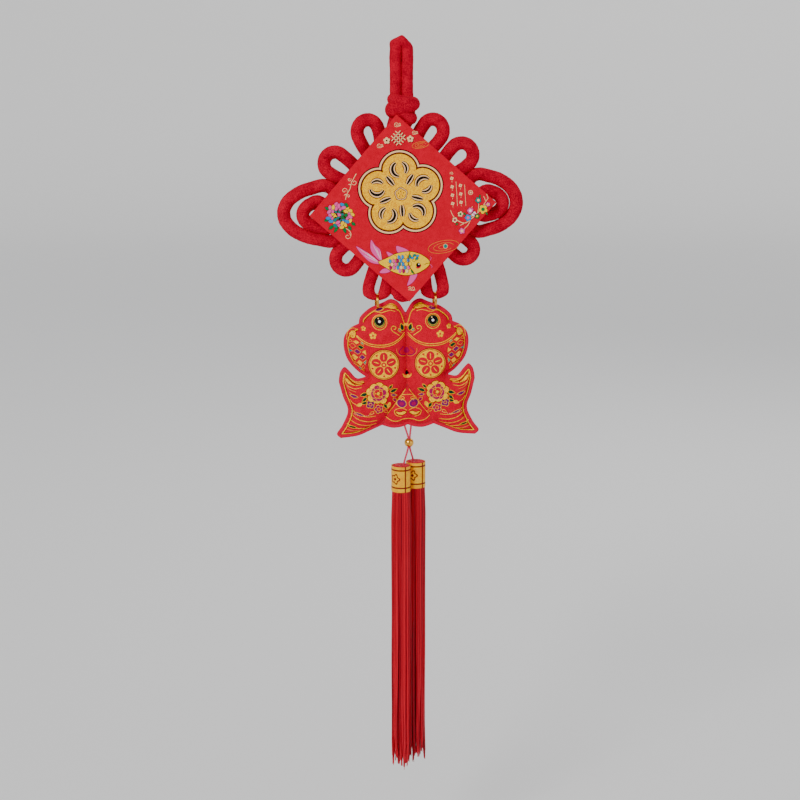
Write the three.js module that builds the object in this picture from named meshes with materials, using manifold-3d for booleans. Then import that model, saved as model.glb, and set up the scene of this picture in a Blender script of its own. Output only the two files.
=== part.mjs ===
// A Chinese knot wall hanging, in millimetres, +Z up, seen from -Y and hanging from the origin.
// One thick soft cord makes the hanging loop, the connection knot, the woven diamond and its ears.
// A square board stands on its corner in front of the weave. Two gilt rings carry a stuffed pair of
// fish from the lowest ears, and a thin string through a gilt bead carries two banded tassels.
import * as THREE from "three";
import { mergeVertices } from "three/addons/utils/BufferGeometryUtils.js";
import Module from "manifold-3d";

const wasm = await Module();
wasm.setup();

// Driving dimensions of the whole
const GAP = 0.3;
const TILT = THREE.MathUtils.degToRad(3.9);
const KNOT_CENTRE = { x: 0.8, z: -154.6 };

// The cord and its weave
const CORD_RADIUS = 6.1;
const CORD_SIDES = 8;
const STRANDS = 7;
const PITCH = 15.5;
const WEAVE_HALF = 51;
const WEAVE_RISE = 4.3;
const WEAVE_CELLS = 24;
const WEAVE_FLOOR = 1;
const STRAND_RADIUS = 6;
const BACKING_HALF = 46;
const BACKING_FRONT = 9.9;

// The board
const BOARD_SIDE = 120;
const BOARD_THICK = 4.2;
const BOARD_ROUND = 1;

// The rings between the knot and the fish
const RING_RADIUS = 6.95;
const RING_WIRE = 0.65;
const RING_WIDEN = 1.7;
const RING_TURN = THREE.MathUtils.degToRad(7);
const HOLE = { u: 26.75, w: 55.7, radius: 1.8 };

// The stuffed pair of fish
const FISH_CENTRE = { x: 4.9, z: -303.9 };
const FISH_TILT = THREE.MathUtils.degToRad(1.2);
const RIM_THICK = 3;
const RIM_WIDTH = 4.5;
const FISH_REACH = 70;
const FISH_CELL = 5;
const FISH_PUFF = 0.76;
const SEAM_HEIGHT = 2.6;
const RIM_UNDER = 0.6;
const FISH_DEEPEST = 60;
const LIFT_ROUNDS = 400;

// The string, the bead and the tassels
const STRING_RADIUS = 0.8;
const STRING_SPREAD = 3;
const STRING_SEWN_IN = 5;
const STRING_INWARD = 2.6;
const BEAD = { x: 7.2, z: -375.2, radius: 4.4, bore: 1.95 };
const TASSELS = [
  { name: "left", x: -0.5, y: -5.9, top: -394.8 },
  { name: "right", x: 13.9, y: 5.9, top: -394 },
];
const HEAD_RADIUS = 8.5;
const HEAD_LENGTH = 26;
const BAND_WALL = 0.5;
const BAND_LENGTH = 24.4;
const BAND_DROP = 0.8;
const LOCKS = 55;
const LOCK_RADIUS = 0.66;
const LOCK_STEPS = 3;
const SKIRT_RADIUS = 7.5;
const SKIRT_FLARE = 1.1;
const SKIRT_LENGTH = 303;
const SKIRT_UNEVEN = 14;

const RED_CORD = { color: 0xc8102a, roughness: 0.95, metalness: 0 };
const RED_BOARD = { color: 0xd8061f, roughness: 0.85, metalness: 0 };
const RED_PLUSH = { color: 0xd00a24, roughness: 0.9, metalness: 0 };
const RED_THREAD = { color: 0xb0061c, roughness: 0.55, metalness: 0 };
const GILT_METAL = { color: 0xd9a441, roughness: 0.25, metalness: 1 };
const GILT_BAND = { color: 0xd8a63c, roughness: 0.45, metalness: 0.3 };

function solidOf(geometry) {
  const bare = geometry.clone();
  bare.deleteAttribute("normal");
  bare.deleteAttribute("uv");
  const merged = mergeVertices(bare, 1e-3);
  const vertProperties = new Float32Array(merged.attributes.position.array);
  const triVerts = new Uint32Array(merged.index.array);
  return new wasm.Manifold(new wasm.Mesh({ numProp: 3, vertProperties, triVerts }));
}

function geometryOf(solid) {
  const mesh = solid.getMesh();
  const geometry = new THREE.BufferGeometry();
  geometry.setAttribute("position", new THREE.BufferAttribute(mesh.vertProperties, 3));
  geometry.setIndex(new THREE.BufferAttribute(mesh.triVerts, 1));
  return geometry;
}

function joined(geometries) {
  return geometries.map(solidOf).reduce((whole, piece) => whole.add(piece));
}

// The one shell round it all, without the pockets that the cord closes in where it is pulled tight
function outerShell(solid) {
  const shells = solidOf(geometryOf(solid)).decompose();
  return shells.reduce((shell, other) => (other.volume() > shell.volume() ? other : shell));
}

function named(name, geometry, look) {
  const mesh = new THREE.Mesh(geometry, new THREE.MeshStandardMaterial(look));
  mesh.name = name;
  return mesh;
}

function roundSection(radius, sides) {
  const corners = [];
  for (let i = 0; i < sides; i++) {
    const angle = ((i + 0.5) * 2 * Math.PI) / sides;
    corners.push(new THREE.Vector2(radius * Math.cos(angle), radius * Math.sin(angle)));
  }
  return new THREE.Shape(corners);
}

function tube(points, radius, steps, sides = CORD_SIDES) {
  const extrudePath = new THREE.CatmullRomCurve3(points, false, "centripetal");
  return new THREE.ExtrudeGeometry(roundSection(radius, sides), { steps, extrudePath });
}

function moveEachVertex(geometry, move) {
  const position = geometry.attributes.position;
  const point = new THREE.Vector3();
  for (let i = 0; i < position.count; i++) {
    move(point.fromBufferAttribute(position, i));
    position.setXYZ(i, point.x, point.y, point.z);
  }
  return geometry;
}

// A point of the weave: along runs up to the right, across runs down to the right, as the board hangs
function inWeave(along, across, y = 0) {
  const x = (along + across) * Math.SQRT1_2;
  const z = (along - across) * Math.SQRT1_2;
  return new THREE.Vector3(
    KNOT_CENTRE.x + x * Math.cos(TILT) - z * Math.sin(TILT),
    y,
    KNOT_CENTRE.z + x * Math.sin(TILT) + z * Math.cos(TILT),
  );
}

// Strands are counted from the diamond's left or right corner, 0 to 6, on each of its four sides
const SIDES = {
  upperLeft: (strand, out) => inWeave((strand - 3) * PITCH, -out),
  lowerLeft: (strand, out) => inWeave(-out, (strand - 3) * PITCH),
  upperRight: (strand, out) => inWeave(out, (3 - strand) * PITCH),
  lowerRight: (strand, out) => inWeave((3 - strand) * PITCH, out),
};

// Each ear leaves the weave by one strand and returns by another, round an eye at x, z
// whose centreline has these half widths
const EARS = [
  { from: ["upperLeft", 4], to: ["upperLeft", 5], x: -30.5, z: -86, halfX: 9.6, halfZ: 10.8 },
  { from: ["upperLeft", 2], to: ["upperLeft", 3], x: -60.5, z: -114.2, halfX: 9.8, halfZ: 10.2 },
  { from: ["upperLeft", 1], to: ["lowerLeft", 1], x: -72, z: -159.6, halfX: 35.4, halfZ: 24.4 },
  { from: ["upperLeft", 0], to: ["lowerLeft", 0], x: -74, z: -160.4, halfX: 15.4, halfZ: 11.5 },
  { from: ["lowerLeft", 2], to: ["lowerLeft", 3], x: -50.8, z: -201.6, halfX: 9.6, halfZ: 10.2 },
  { from: ["upperRight", 4], to: ["upperRight", 5], x: 28.4, z: -85.2, halfX: 9.6, halfZ: 10.4 },
  { from: ["upperRight", 2], to: ["upperRight", 3], x: 54.6, z: -107, halfX: 10.6, halfZ: 10.8 },
  { from: ["upperRight", 1], to: ["lowerRight", 1], x: 74, z: -150.2, halfX: 31.4, halfZ: 25.4 },
  { from: ["upperRight", 0], to: ["lowerRight", 0], x: 79, z: -150.8, halfX: 13.4, halfZ: 11 },
  { from: ["lowerRight", 2], to: ["lowerRight", 3], x: 57.2, z: -193.4, halfX: 9.4, halfZ: 9 },
  { from: ["lowerLeft", 6], to: ["lowerRight", 6], x: 1.6, z: -229.6, halfX: 6.2, halfZ: 6.2 },
];

// The two lowest ears hang straight down and are squeezed where a ring bites into them
const RINGED_EARS = [
  { name: "left", from: ["lowerLeft", 4], to: ["lowerLeft", 5], x: -22.7, z: -229.5, ringZ: -241 },
  { name: "right", from: ["lowerRight", 4], to: ["lowerRight", 5], x: 30.8, z: -228.6, ringZ: -240 },
];
const RINGED = { halfX: 7.6, halfZ: 10.6, radius: 5.7, squash: 0.5, depth: 0.72, fade: 14 };

const EAR_ROOT = 14;
const EAR_STEPS = 13;
const EAR_TURNS = [-95, -48, 0, 48, 95];

// The route of an ear: out of the weave, round its eye by the far side, and back in
function earRoute({ from, to, x, z, halfX, halfZ }) {
  const leave = SIDES[from[0]](from[1], WEAVE_HALF);
  const enter = SIDES[to[0]](to[1], WEAVE_HALF);
  const away = new THREE.Vector3(x, 0, z).sub(leave.clone().add(enter).multiplyScalar(0.5)).normalize();
  const toLeave = leave.clone().sub(enter);
  const sideways = toLeave.sub(away.clone().multiplyScalar(toLeave.dot(away))).normalize();
  const round = EAR_TURNS.map((degrees) => {
    const turn = THREE.MathUtils.degToRad(degrees);
    const cos = Math.cos(turn);
    const sin = -Math.sin(turn);
    return new THREE.Vector3(
      x + halfX * (away.x * cos + sideways.x * sin),
      0,
      z + halfZ * (away.z * cos + sideways.z * sin),
    );
  });
  const rootOut = SIDES[from[0]](from[1], WEAVE_HALF - EAR_ROOT);
  const rootIn = SIDES[to[0]](to[1], WEAVE_HALF - EAR_ROOT);
  return [rootOut, leave, ...round, enter, rootIn];
}

function ear(row) {
  return tube(earRoute(row), CORD_RADIUS, EAR_STEPS);
}

// A lowest ear, pressed flat below the top of its lowest turn and thinned from front to back
function ringedEar(row) {
  const shape = tube(earRoute({ ...row, ...RINGED }), RINGED.radius, EAR_STEPS + 3);
  const turnTop = row.z - RINGED.halfZ + RINGED.radius;
  return moveEachVertex(shape, (point) => {
    const near = THREE.MathUtils.smoothstep(-point.z, -turnTop - RINGED.fade, -turnTop);
    point.y *= 1 - near * (1 - RINGED.depth);
    if (point.z < turnTop) point.z = turnTop + (point.z - turnTop) * RINGED.squash;
  });
}

// How far the back of the weave stands behind its middle plane, at a point of it
function weaveHeight(along, across) {
  const ends = (v) => 1 - THREE.MathUtils.smoothstep(Math.abs(v), WEAVE_HALF - PITCH / 2, WEAVE_HALF);
  let height = WEAVE_FLOOR;
  for (let i = 0; i < STRANDS; i++) {
    const middle = (i - 3) * PITCH;
    const runs = [
      { off: along - middle, on: across, over: 1 },
      { off: across - middle, on: along, over: -1 },
    ];
    for (const { off, on, over } of runs) {
      if (Math.abs(off) >= STRAND_RADIUS) continue;
      const wave = over * WEAVE_RISE * Math.cos(Math.PI * (on / PITCH + i)) * ends(on);
      height = Math.max(height, wave + Math.sqrt(STRAND_RADIUS ** 2 - off ** 2));
    }
  }
  return height;
}

// The woven diamond: its back in relief, on a flat backing that the board is glued to
function weave() {
  const side = 2 * WEAVE_HALF;
  const relief = new THREE.BoxGeometry(side, 2, side, WEAVE_CELLS, 1, WEAVE_CELLS);
  moveEachVertex(relief, (point) => {
    const back = point.y > 0 ? weaveHeight(point.x, point.z) : -STRAND_RADIUS;
    point.copy(inWeave(point.x, -point.z, back));
  });
  const backing = new THREE.BoxGeometry(2 * BACKING_HALF, BACKING_FRONT, 2 * BACKING_HALF);
  moveEachVertex(backing, (point) => {
    point.copy(inWeave(point.x, -point.z, point.y - BACKING_FRONT / 2));
  });
  return [relief, backing];
}

// The hanging loop: up from the weave, folded to a point at the top, and down again
const LOOP = { halfX: 5.1, bottom: -50, shoulder: -14, peakX: 0.9, peak: -5.9, radius: 5.5, point: 1.6 };

function hangingLoop() {
  const at = (x, z) => new THREE.Vector3(x, 0, z);
  const { halfX, bottom, shoulder, peakX, peak } = LOOP;
  const route = [
    SIDES.upperLeft(6, WEAVE_HALF - EAR_ROOT),
    SIDES.upperLeft(6, WEAVE_HALF),
    at(-halfX, bottom - 20),
    at(-halfX, bottom),
    at(-halfX, shoulder),
    at(-halfX + 1.6, peak - 2),
    at(peakX, peak),
    at(halfX - 0.5, peak - 3.4),
    at(halfX, shoulder),
    at(halfX, bottom),
    at(halfX + 1.4, bottom - 22),
    SIDES.upperRight(6, WEAVE_HALF),
    SIDES.upperRight(6, WEAVE_HALF - EAR_ROOT),
  ];
  return moveEachVertex(tube(route, LOOP.radius, 30), (point) => {
    if (point.z < peak) return;
    point.z += LOOP.point * Math.exp(-(((point.x - peakX) / 3) ** 2)) * (point.z - peak) / LOOP.radius;
  });
}

// The connection knot: turns of the cord round both strands, wider apart on the left. Each is given
// by its outermost x, its height and its half thickness at both ends
const WRAPS = [
  { left: { x: -13, z: -57, cord: 5.4 }, right: { x: 16.4, z: -60.2, cord: 5.6 } },
  { left: { x: -15, z: -66.2, cord: 8.4 }, right: { x: 16.8, z: -61, cord: 6.3 } },
  { left: { x: -9, z: -72.5, cord: 5.4 }, right: { x: 14.3, z: -73.6, cord: 6 } },
];
const WRAP_REACH = 14.9;
const WRAP_STEPS = 16;

function wrap({ left, right }) {
  const { lerp } = THREE.MathUtils;
  return moveEachVertex(new THREE.TorusGeometry(2, 1, CORD_SIDES, WRAP_STEPS), (point) => {
    const turn = Math.atan2(point.y, point.x);
    const share = (1 - Math.cos(turn)) / 2;
    const cord = lerp(right.cord, left.cord, share);
    const out = (Math.hypot(point.x, point.y) - 2) * cord;
    point.set(
      lerp(right.x - right.cord, left.x + left.cord, share) + out * Math.cos(turn),
      (WRAP_REACH - cord + out) * Math.sin(turn),
      lerp(right.z, left.z, share) + point.z * cord,
    );
  });
}

// Room for the board, whose top corner presses into the connection knot
const BOARD_ROOM = { depth: 20, back: 9.88 };

function boardRoom() {
  const side = BOARD_SIDE + 2 * GAP;
  return moveEachVertex(new THREE.BoxGeometry(side, BOARD_ROOM.depth, side), (point) => {
    point.copy(inWeave(point.x, -point.z, point.y - BOARD_ROOM.depth / 2 - BOARD_ROOM.back));
  });
}

function ring(row, extra = 0) {
  const shape = new THREE.TorusGeometry(RING_RADIUS, RING_WIRE + extra, 6, 24);
  shape.scale(1, 1, RING_WIDEN).rotateY(Math.PI / 2).rotateZ(RING_TURN);
  return shape.translate(row.x, 0, row.ringZ);
}

function knotCord() {
  const cords = [hangingLoop(), ...WRAPS.map(wrap), ...EARS.map(ear), ...RINGED_EARS.map(ringedEar)];
  const whole = joined([...weave(), ...cords]);
  const cutters = [boardRoom(), ...RINGED_EARS.map((row) => ring(row, GAP))];
  return outerShell(cutters.reduce((rest, cutter) => rest.subtract(solidOf(cutter)), whole));
}

function board() {
  const flat = BOARD_SIDE / 2 - BOARD_ROUND;
  const square = new THREE.Shape([
    new THREE.Vector2(-flat, -flat),
    new THREE.Vector2(flat, -flat),
    new THREE.Vector2(flat, flat),
    new THREE.Vector2(-flat, flat),
  ]);
  const shape = new THREE.ExtrudeGeometry(square, {
    depth: BOARD_THICK - 2 * BOARD_ROUND,
    bevelSize: BOARD_ROUND,
    bevelThickness: BOARD_ROUND,
    bevelSegments: 2,
  });
  shape.rotateZ(Math.PI / 4).rotateX(Math.PI / 2).rotateY(-TILT);
  const back = -BACKING_FRONT - GAP - BOARD_ROUND;
  return shape.translate(KNOT_CENTRE.x, back, KNOT_CENTRE.z);
}

// Half of the fish pair's outline, from the notch between the heads to the middle of the lower edge,
// as u sideways and w upwards from the middle, one smooth stretch for each part
const OUTLINE = [
  { part: "head", through: [[0, 52.7], [6, 62], [13.5, 65.6], [21.5, 62.4], [33, 57.8], [42, 50], [43.8, 43.4]] },
  { part: "side fin", through: [[43.8, 43.4], [51.2, 39.8], [57.3, 32], [58.2, 21], [54.6, 9], [46.4, -1], [38.8, -6.8]] },
  { part: "tail top", through: [[38.8, -6.8], [46.6, -8], [52.9, -1.2], [57.9, 3], [62.3, -2.2], [63.8, -11]] },
  { part: "tail", through: [[63.8, -11], [60.3, -25], [56, -38.5], [61.2, -52], [66.9, -60.6], [63.2, -65.2]] },
  { part: "tail foot", through: [[63.2, -65.2], [47.4, -63.5], [35, -58.6], [24.2, -53.9]] },
  { part: "lower edge", through: [[24.2, -53.9], [15, -56.8], [6.5, -56.3], [0, -54]] },
];
const OUTLINE_STEP = 2;

// The lines sewn right through, besides the one round the rim
const SEAMS = [
  { seam: "between the fish", from: [0, 52.7], to: [0, -15.8] },
  { seam: "left tail", from: [0, -15.8], to: [-20.5, -44] },
  { seam: "left tail end", from: [-20.5, -44], to: [-24.2, -53.9] },
  { seam: "right tail", from: [0, -15.8], to: [20.5, -44] },
  { seam: "right tail end", from: [20.5, -44], to: [24.2, -53.9] },
];

function fishOutline() {
  const half = [];
  for (const { through } of OUTLINE) {
    const curve = new THREE.SplineCurve(through.map(([u, w]) => new THREE.Vector2(u, w)));
    half.push(...curve.getPoints(OUTLINE_STEP * (through.length - 1)).slice(0, -1));
  }
  const middle = new THREE.Vector2(0, -54);
  const mirrored = half.slice(1).reverse().map((p) => new THREE.Vector2(-p.x, p.y));
  return [...half, middle, ...mirrored];
}

function nearestOnLine(point, start, end) {
  const run = end.clone().sub(start);
  const share = THREE.MathUtils.clamp(point.clone().sub(start).dot(run) / run.lengthSq(), 0, 1);
  return start.clone().add(run.multiplyScalar(share));
}

function nearestOnLines(point, lines) {
  let best = null;
  for (const [start, end] of lines) {
    const foot = nearestOnLine(point, start, end);
    const distance = foot.distanceTo(point);
    if (!best || distance < best.distance) best = { foot, distance };
  }
  return best;
}

function isInside(point, outline) {
  let inside = false;
  outline.forEach((a, i) => {
    const b = outline[(i + 1) % outline.length];
    if (a.y > point.y !== b.y > point.y && point.x < a.x + ((point.y - a.y) * (b.x - a.x)) / (b.y - a.y)) {
      inside = !inside;
    }
  });
  return inside;
}

// A square net of points over the fish. Points near a sewn line move onto it, and the filling
// lifts the others as air would, which is higher the further the sewn lines lie apart.
function fishNet(outline) {
  const edges = outline.map((point, i) => [point, outline[(i + 1) % outline.length]]);
  const seams = SEAMS.map(({ from, to }) => [new THREE.Vector2(...from), new THREE.Vector2(...to)]);
  const columns = 2 * Math.ceil(FISH_REACH / FISH_CELL);
  const rows = columns;
  const net = [];
  for (let row = 0; row <= rows; row++) {
    for (let column = 0; column <= columns; column++) {
      const point = new THREE.Vector2((column - columns / 2) * FISH_CELL, (row - rows / 2) * FISH_CELL);
      const edge = nearestOnLines(point, edges);
      const depth = isInside(point, outline) ? edge.distance : -edge.distance;
      const seam = nearestOnLines(point, seams);
      const node = { point, kind: depth < RIM_WIDTH ? "rim" : "filled", lift: 0 };
      if (Math.abs(depth - RIM_WIDTH) < FISH_CELL / 2) {
        const inward = point.clone().sub(edge.foot).multiplyScalar(Math.sign(depth)).normalize();
        point.copy(edge.foot).add(inward.multiplyScalar(RIM_WIDTH));
        node.kind = "stitched";
      } else if (depth > RIM_WIDTH && seam.distance < FISH_CELL / 2) {
        point.copy(seam.foot);
        node.kind = "seam";
      }
      net.push(node);
    }
  }
  const across = columns + 1;
  for (let round = 0; round < LIFT_ROUNDS; round++) {
    net.forEach((node, i) => {
      if (node.kind !== "filled") return;
      const around = net[i - 1].lift + net[i + 1].lift + net[i - across].lift + net[i + across].lift;
      node.lift = (around + FISH_CELL ** 2) / 4;
    });
  }
  return { net, columns, rows };
}

const HEIGHTS = { rim: RIM_UNDER, stitched: RIM_THICK / 2, seam: SEAM_HEIGHT, filled: RIM_THICK / 2 };

function fishFilling(outline) {
  const { net, columns, rows } = fishNet(outline);
  const shape = new THREE.BoxGeometry(columns, 2, rows, columns, 1, rows);
  return moveEachVertex(shape, (point) => {
    const column = Math.round(point.x + columns / 2);
    const row = Math.round(rows / 2 + point.z);
    const node = net[row * (columns + 1) + column];
    const height = HEIGHTS[node.kind] + FISH_PUFF * Math.sqrt(node.lift);
    point.set(node.point.x, Math.sign(point.y) * height, node.point.y);
  });
}

function hangFish(geometry) {
  return geometry.rotateY(-FISH_TILT).translate(FISH_CENTRE.x, 0, FISH_CENTRE.z);
}

function fishPlate(outline, thick) {
  const shape = new THREE.ExtrudeGeometry(new THREE.Shape(outline), { depth: thick, bevelEnabled: false });
  return shape.rotateX(Math.PI / 2).translate(0, thick / 2, 0);
}

function fishPair() {
  const outline = fishOutline();
  const filling = solidOf(hangFish(fishFilling(outline)));
  const bounds = solidOf(hangFish(fishPlate(outline, FISH_DEEPEST)));
  const rim = solidOf(hangFish(fishPlate(outline, RIM_THICK)));
  let whole = filling.intersect(bounds).add(rim);
  for (const side of [-1, 1]) {
    const eyelet = new THREE.CylinderGeometry(HOLE.radius, HOLE.radius, FISH_DEEPEST, 12);
    whole = whole.subtract(solidOf(hangFish(eyelet.translate(side * HOLE.u, 0, HOLE.w))));
  }
  const cutters = [...RINGED_EARS.map((row) => ring(row, GAP)), ...strings(STRING_RADIUS + GAP)];
  return cutters.reduce((rest, cutter) => rest.subtract(solidOf(cutter)), whole);
}

// The string: two strands sewn into the lower rim, side by side in the bead, one to each tassel
function strings(radius) {
  const hem = FISH_CENTRE.z - 55;
  const hemX = FISH_CENTRE.x + 55 * Math.sin(FISH_TILT);
  return TASSELS.map((tassel, i) => {
    const side = i ? 1 : -1;
    const inBead = BEAD.x + side * STRING_RADIUS * 0.8;
    const route = [
      new THREE.Vector3(hemX + side * STRING_SPREAD * 1.1, 0, hem + STRING_SEWN_IN),
      new THREE.Vector3(hemX + side * STRING_SPREAD, 0, hem),
      new THREE.Vector3(inBead, 0, BEAD.z + BEAD.radius),
      new THREE.Vector3(inBead, 0, BEAD.z - BEAD.radius),
      new THREE.Vector3(tassel.x - side * STRING_INWARD, tassel.y, tassel.top + 1),
      new THREE.Vector3(tassel.x - side * STRING_INWARD, tassel.y, tassel.top - STRING_SEWN_IN),
    ];
    return tube(route, radius, 12, 6);
  });
}

function bead() {
  const { x, z, radius, bore } = BEAD;
  const half = Math.sqrt(radius ** 2 - bore ** 2);
  const profile = [new THREE.Vector2(bore, -half)];
  const start = Math.atan2(-half, bore);
  const turns = 7;
  for (let i = 1; i < turns; i++) {
    const angle = start * (1 - (2 * i) / turns);
    profile.push(new THREE.Vector2(radius * Math.cos(angle), radius * Math.sin(angle)));
  }
  profile.push(new THREE.Vector2(bore, half), new THREE.Vector2(bore, -half));
  return new THREE.LatheGeometry(profile, 14).rotateX(Math.PI / 2).translate(x, 0, z);
}

function turned(profile, tassel) {
  const points = profile.map(([radius, height]) => new THREE.Vector2(radius, height));
  return new THREE.LatheGeometry(points, 24).rotateX(Math.PI / 2).translate(tassel.x, tassel.y, tassel.top);
}

function tasselBand(tassel) {
  const inner = HEAD_RADIUS + GAP;
  const outer = inner + BAND_WALL;
  const top = -BAND_DROP;
  const foot = top - BAND_LENGTH;
  return turned([[inner, foot], [outer, foot], [outer, top], [inner, top], [inner, foot]], tassel);
}

// Locks stand in a sunflower spread, so each keeps clear of its neighbours, and sway together
function tasselSkirt(tassel) {
  const rounded = [[0, -HEAD_LENGTH], [HEAD_RADIUS, -HEAD_LENGTH], [HEAD_RADIUS, -1.6], [7, -0.2], [0, 0]];
  const head = solidOf(turned(rounded, tassel));
  const goldenAngle = Math.PI * (3 - Math.sqrt(5));
  const locks = [];
  for (let i = 0; i < LOCKS; i++) {
    const out = SKIRT_RADIUS * Math.sqrt((i + 0.5) / LOCKS);
    const angle = i * goldenAngle;
    const length = SKIRT_LENGTH - SKIRT_UNEVEN * (0.5 + 0.5 * Math.sin(i * 2.4 + tassel.x));
    const route = [];
    for (let step = 0; step <= LOCK_STEPS; step++) {
      const share = step / LOCK_STEPS;
      const spread = out * (1 + (SKIRT_FLARE - 1) * share);
      const sway = 1.2 * Math.sin(share * 5 + tassel.x);
      route.push(new THREE.Vector3(
        tassel.x + spread * Math.cos(angle) + sway * 0.6,
        tassel.y + spread * Math.sin(angle) + sway * 0.4,
        tassel.top - HEAD_LENGTH / 2 + share * (HEAD_LENGTH / 2 - length),
      ));
    }
    locks.push(tube(route, LOCK_RADIUS, LOCK_STEPS, 3));
  }
  const whole = locks.map(solidOf).reduce((rest, lock) => rest.add(lock), head);
  return strings(STRING_RADIUS + GAP).reduce((rest, cutter) => rest.subtract(solidOf(cutter)), whole);
}

const hanging = new THREE.Group();
hanging.add(named("knot_cord", geometryOf(knotCord()), RED_CORD));
hanging.add(named("board", board(), RED_BOARD));
hanging.add(named("fish_pair", geometryOf(fishPair()), RED_PLUSH));
for (const row of RINGED_EARS) {
  hanging.add(named(`ring_${row.name}`, ring(row), GILT_METAL));
}
hanging.add(named("string", geometryOf(joined(strings(STRING_RADIUS))), RED_THREAD));
hanging.add(named("bead", bead(), GILT_METAL));
for (const tassel of TASSELS) {
  hanging.add(named(`tassel_${tassel.name}`, geometryOf(tasselSkirt(tassel)), RED_THREAD));
  hanging.add(named(`band_${tassel.name}`, tasselBand(tassel), GILT_BAND));
}

export default hanging;
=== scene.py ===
import math
import random

import bmesh
import bpy
from mathutils import Color, Matrix, Vector, geometry
from mathutils.bvhtree import BVHTree


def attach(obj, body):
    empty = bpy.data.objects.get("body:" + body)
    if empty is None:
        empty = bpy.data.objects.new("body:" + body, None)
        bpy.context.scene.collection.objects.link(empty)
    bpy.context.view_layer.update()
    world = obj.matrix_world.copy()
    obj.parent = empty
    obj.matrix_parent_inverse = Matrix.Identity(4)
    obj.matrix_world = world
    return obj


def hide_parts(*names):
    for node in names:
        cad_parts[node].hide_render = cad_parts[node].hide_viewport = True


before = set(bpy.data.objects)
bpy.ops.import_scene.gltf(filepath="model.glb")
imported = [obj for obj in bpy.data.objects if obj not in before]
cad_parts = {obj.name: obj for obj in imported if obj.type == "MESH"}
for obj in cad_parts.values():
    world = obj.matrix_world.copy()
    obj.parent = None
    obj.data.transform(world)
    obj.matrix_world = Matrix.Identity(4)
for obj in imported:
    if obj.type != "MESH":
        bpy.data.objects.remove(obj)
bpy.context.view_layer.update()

# The view
# A long lens a little to the left of the hanging and above it, soft daylight from the upper left, and
# a wide pale floor that curves up far behind on every side. None of it is part of the object.
MM = 0.001
LOOK_DOWN = math.radians(12.04)
LOOK_RIGHT = math.radians(3)
DISTANCE = 1.65
EYE_HEIGHT = 0.0176
EYE_SHIFT = -0.0013
LENS = 81.27
FLOOR_DROP = 0.80
FLOOR_RADIUS = 5.0
FLOOR_CURVE = 1.6
CURVE_STEPS = 8
SUN = {"from": Vector((-1.0, -1.5, 1.15)), "strength": 1.5, "softness": 22}
LIGHTS = [
    {"name": "key", "place": (-1.3, -1.5, 0.9), "size": 1.1, "watts": 12},
    {"name": "fill", "place": (1.6, -1.4, 0.1), "size": 1.6, "watts": 6},
    {"name": "back", "place": (0.9, 1.6, 1.0), "size": 1.4, "watts": 12},
]
LIGHT_AIM = Vector((0, 0, -0.32))


def tone(red, green, blue):
    """A colour given as it looks, from 0 to 255, turned to the light it gives back."""
    light = Color((red / 255, green / 255, blue / 255)).from_srgb_to_scene_linear()
    return (light.r, light.g, light.b, 1.0)


class Wire:
    """A socket of a finish. Arithmetic on it adds Math nodes, and node adds any other kind."""

    def __init__(self, tree, socket=None):
        self.tree = tree
        self.socket = socket

    def node(self, kind, settings, inputs, output=0):
        made = self.tree.nodes.new("ShaderNode" + kind)
        for name, value in settings.items():
            setattr(made, name, value)
        for key, value in inputs.items():
            if isinstance(value, Wire):
                self.tree.links.new(value.socket, made.inputs[key])
            else:
                made.inputs[key].default_value = value
        return Wire(self.tree, made.outputs[output])

    def math(self, operation, *values):
        return self.node("Math", {"operation": operation}, dict(enumerate((self, *values))))

    def __add__(self, other):
        return self.math("ADD", other)

    def __sub__(self, other):
        return self.math("SUBTRACT", other)

    def __rsub__(self, other):
        return self.node("Math", {"operation": "SUBTRACT"}, {0: other, 1: self})

    def __mul__(self, other):
        return self.math("MULTIPLY", other)

    __radd__ = __add__
    __rmul__ = __mul__

    def over(self, low, high):
        """0 below low, 1 above high, and even between them."""
        return self.node("MapRange", {"clamp": True}, {"Value": self, "From Min": low, "From Max": high})

    def blend(self, first, second):
        """The first colour where this is 0, and the second where it is 1."""
        return self.node("Mix", {"data_type": "RGBA"}, {0: self, 6: first, 7: second}, 2)

    def to(self, name):
        self.tree.links.new(self.socket, self.tree.nodes["Principled BSDF"].inputs[name])


def new_finish(name, fixed):
    """A material with the fixed values on its shader's own sockets, and a wire to start its nodes."""
    material = bpy.data.materials.new(name)
    material.use_nodes = True
    for key, value in fixed.items():
        material.node_tree.nodes["Principled BSDF"].inputs[key].default_value = value
    return material, Wire(material.node_tree)


def only(piece):
    bpy.ops.object.select_all(action="DESELECT")
    piece.select_set(True)
    bpy.context.view_layer.objects.active = piece


def placed(name, data):
    """A new object in the scene, alone selected."""
    piece = bpy.data.objects.new(name, data)
    bpy.context.scene.collection.objects.link(piece)
    only(piece)
    return piece


def start_from(name, add, **settings):
    """A new piece that starts as the primitive which the operator adds."""
    bpy.ops.object.select_all(action="DESELECT")
    add(**settings)
    bpy.context.object.name = name
    return bpy.context.object


camera = placed("camera", bpy.data.cameras.new("camera"))
level = Vector((math.sin(LOOK_RIGHT), math.cos(LOOK_RIGHT), 0))
aside = Vector((math.cos(LOOK_RIGHT), -math.sin(LOOK_RIGHT), 0))
ahead = level * math.cos(LOOK_DOWN) - Vector((0, 0, math.sin(LOOK_DOWN)))
camera.location = -level * DISTANCE + aside * EYE_SHIFT + Vector((0, 0, EYE_HEIGHT))
camera.rotation_euler = ahead.to_track_quat("-Z", "Y").to_euler()
camera.data.lens = LENS
bpy.context.scene.camera = camera

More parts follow.
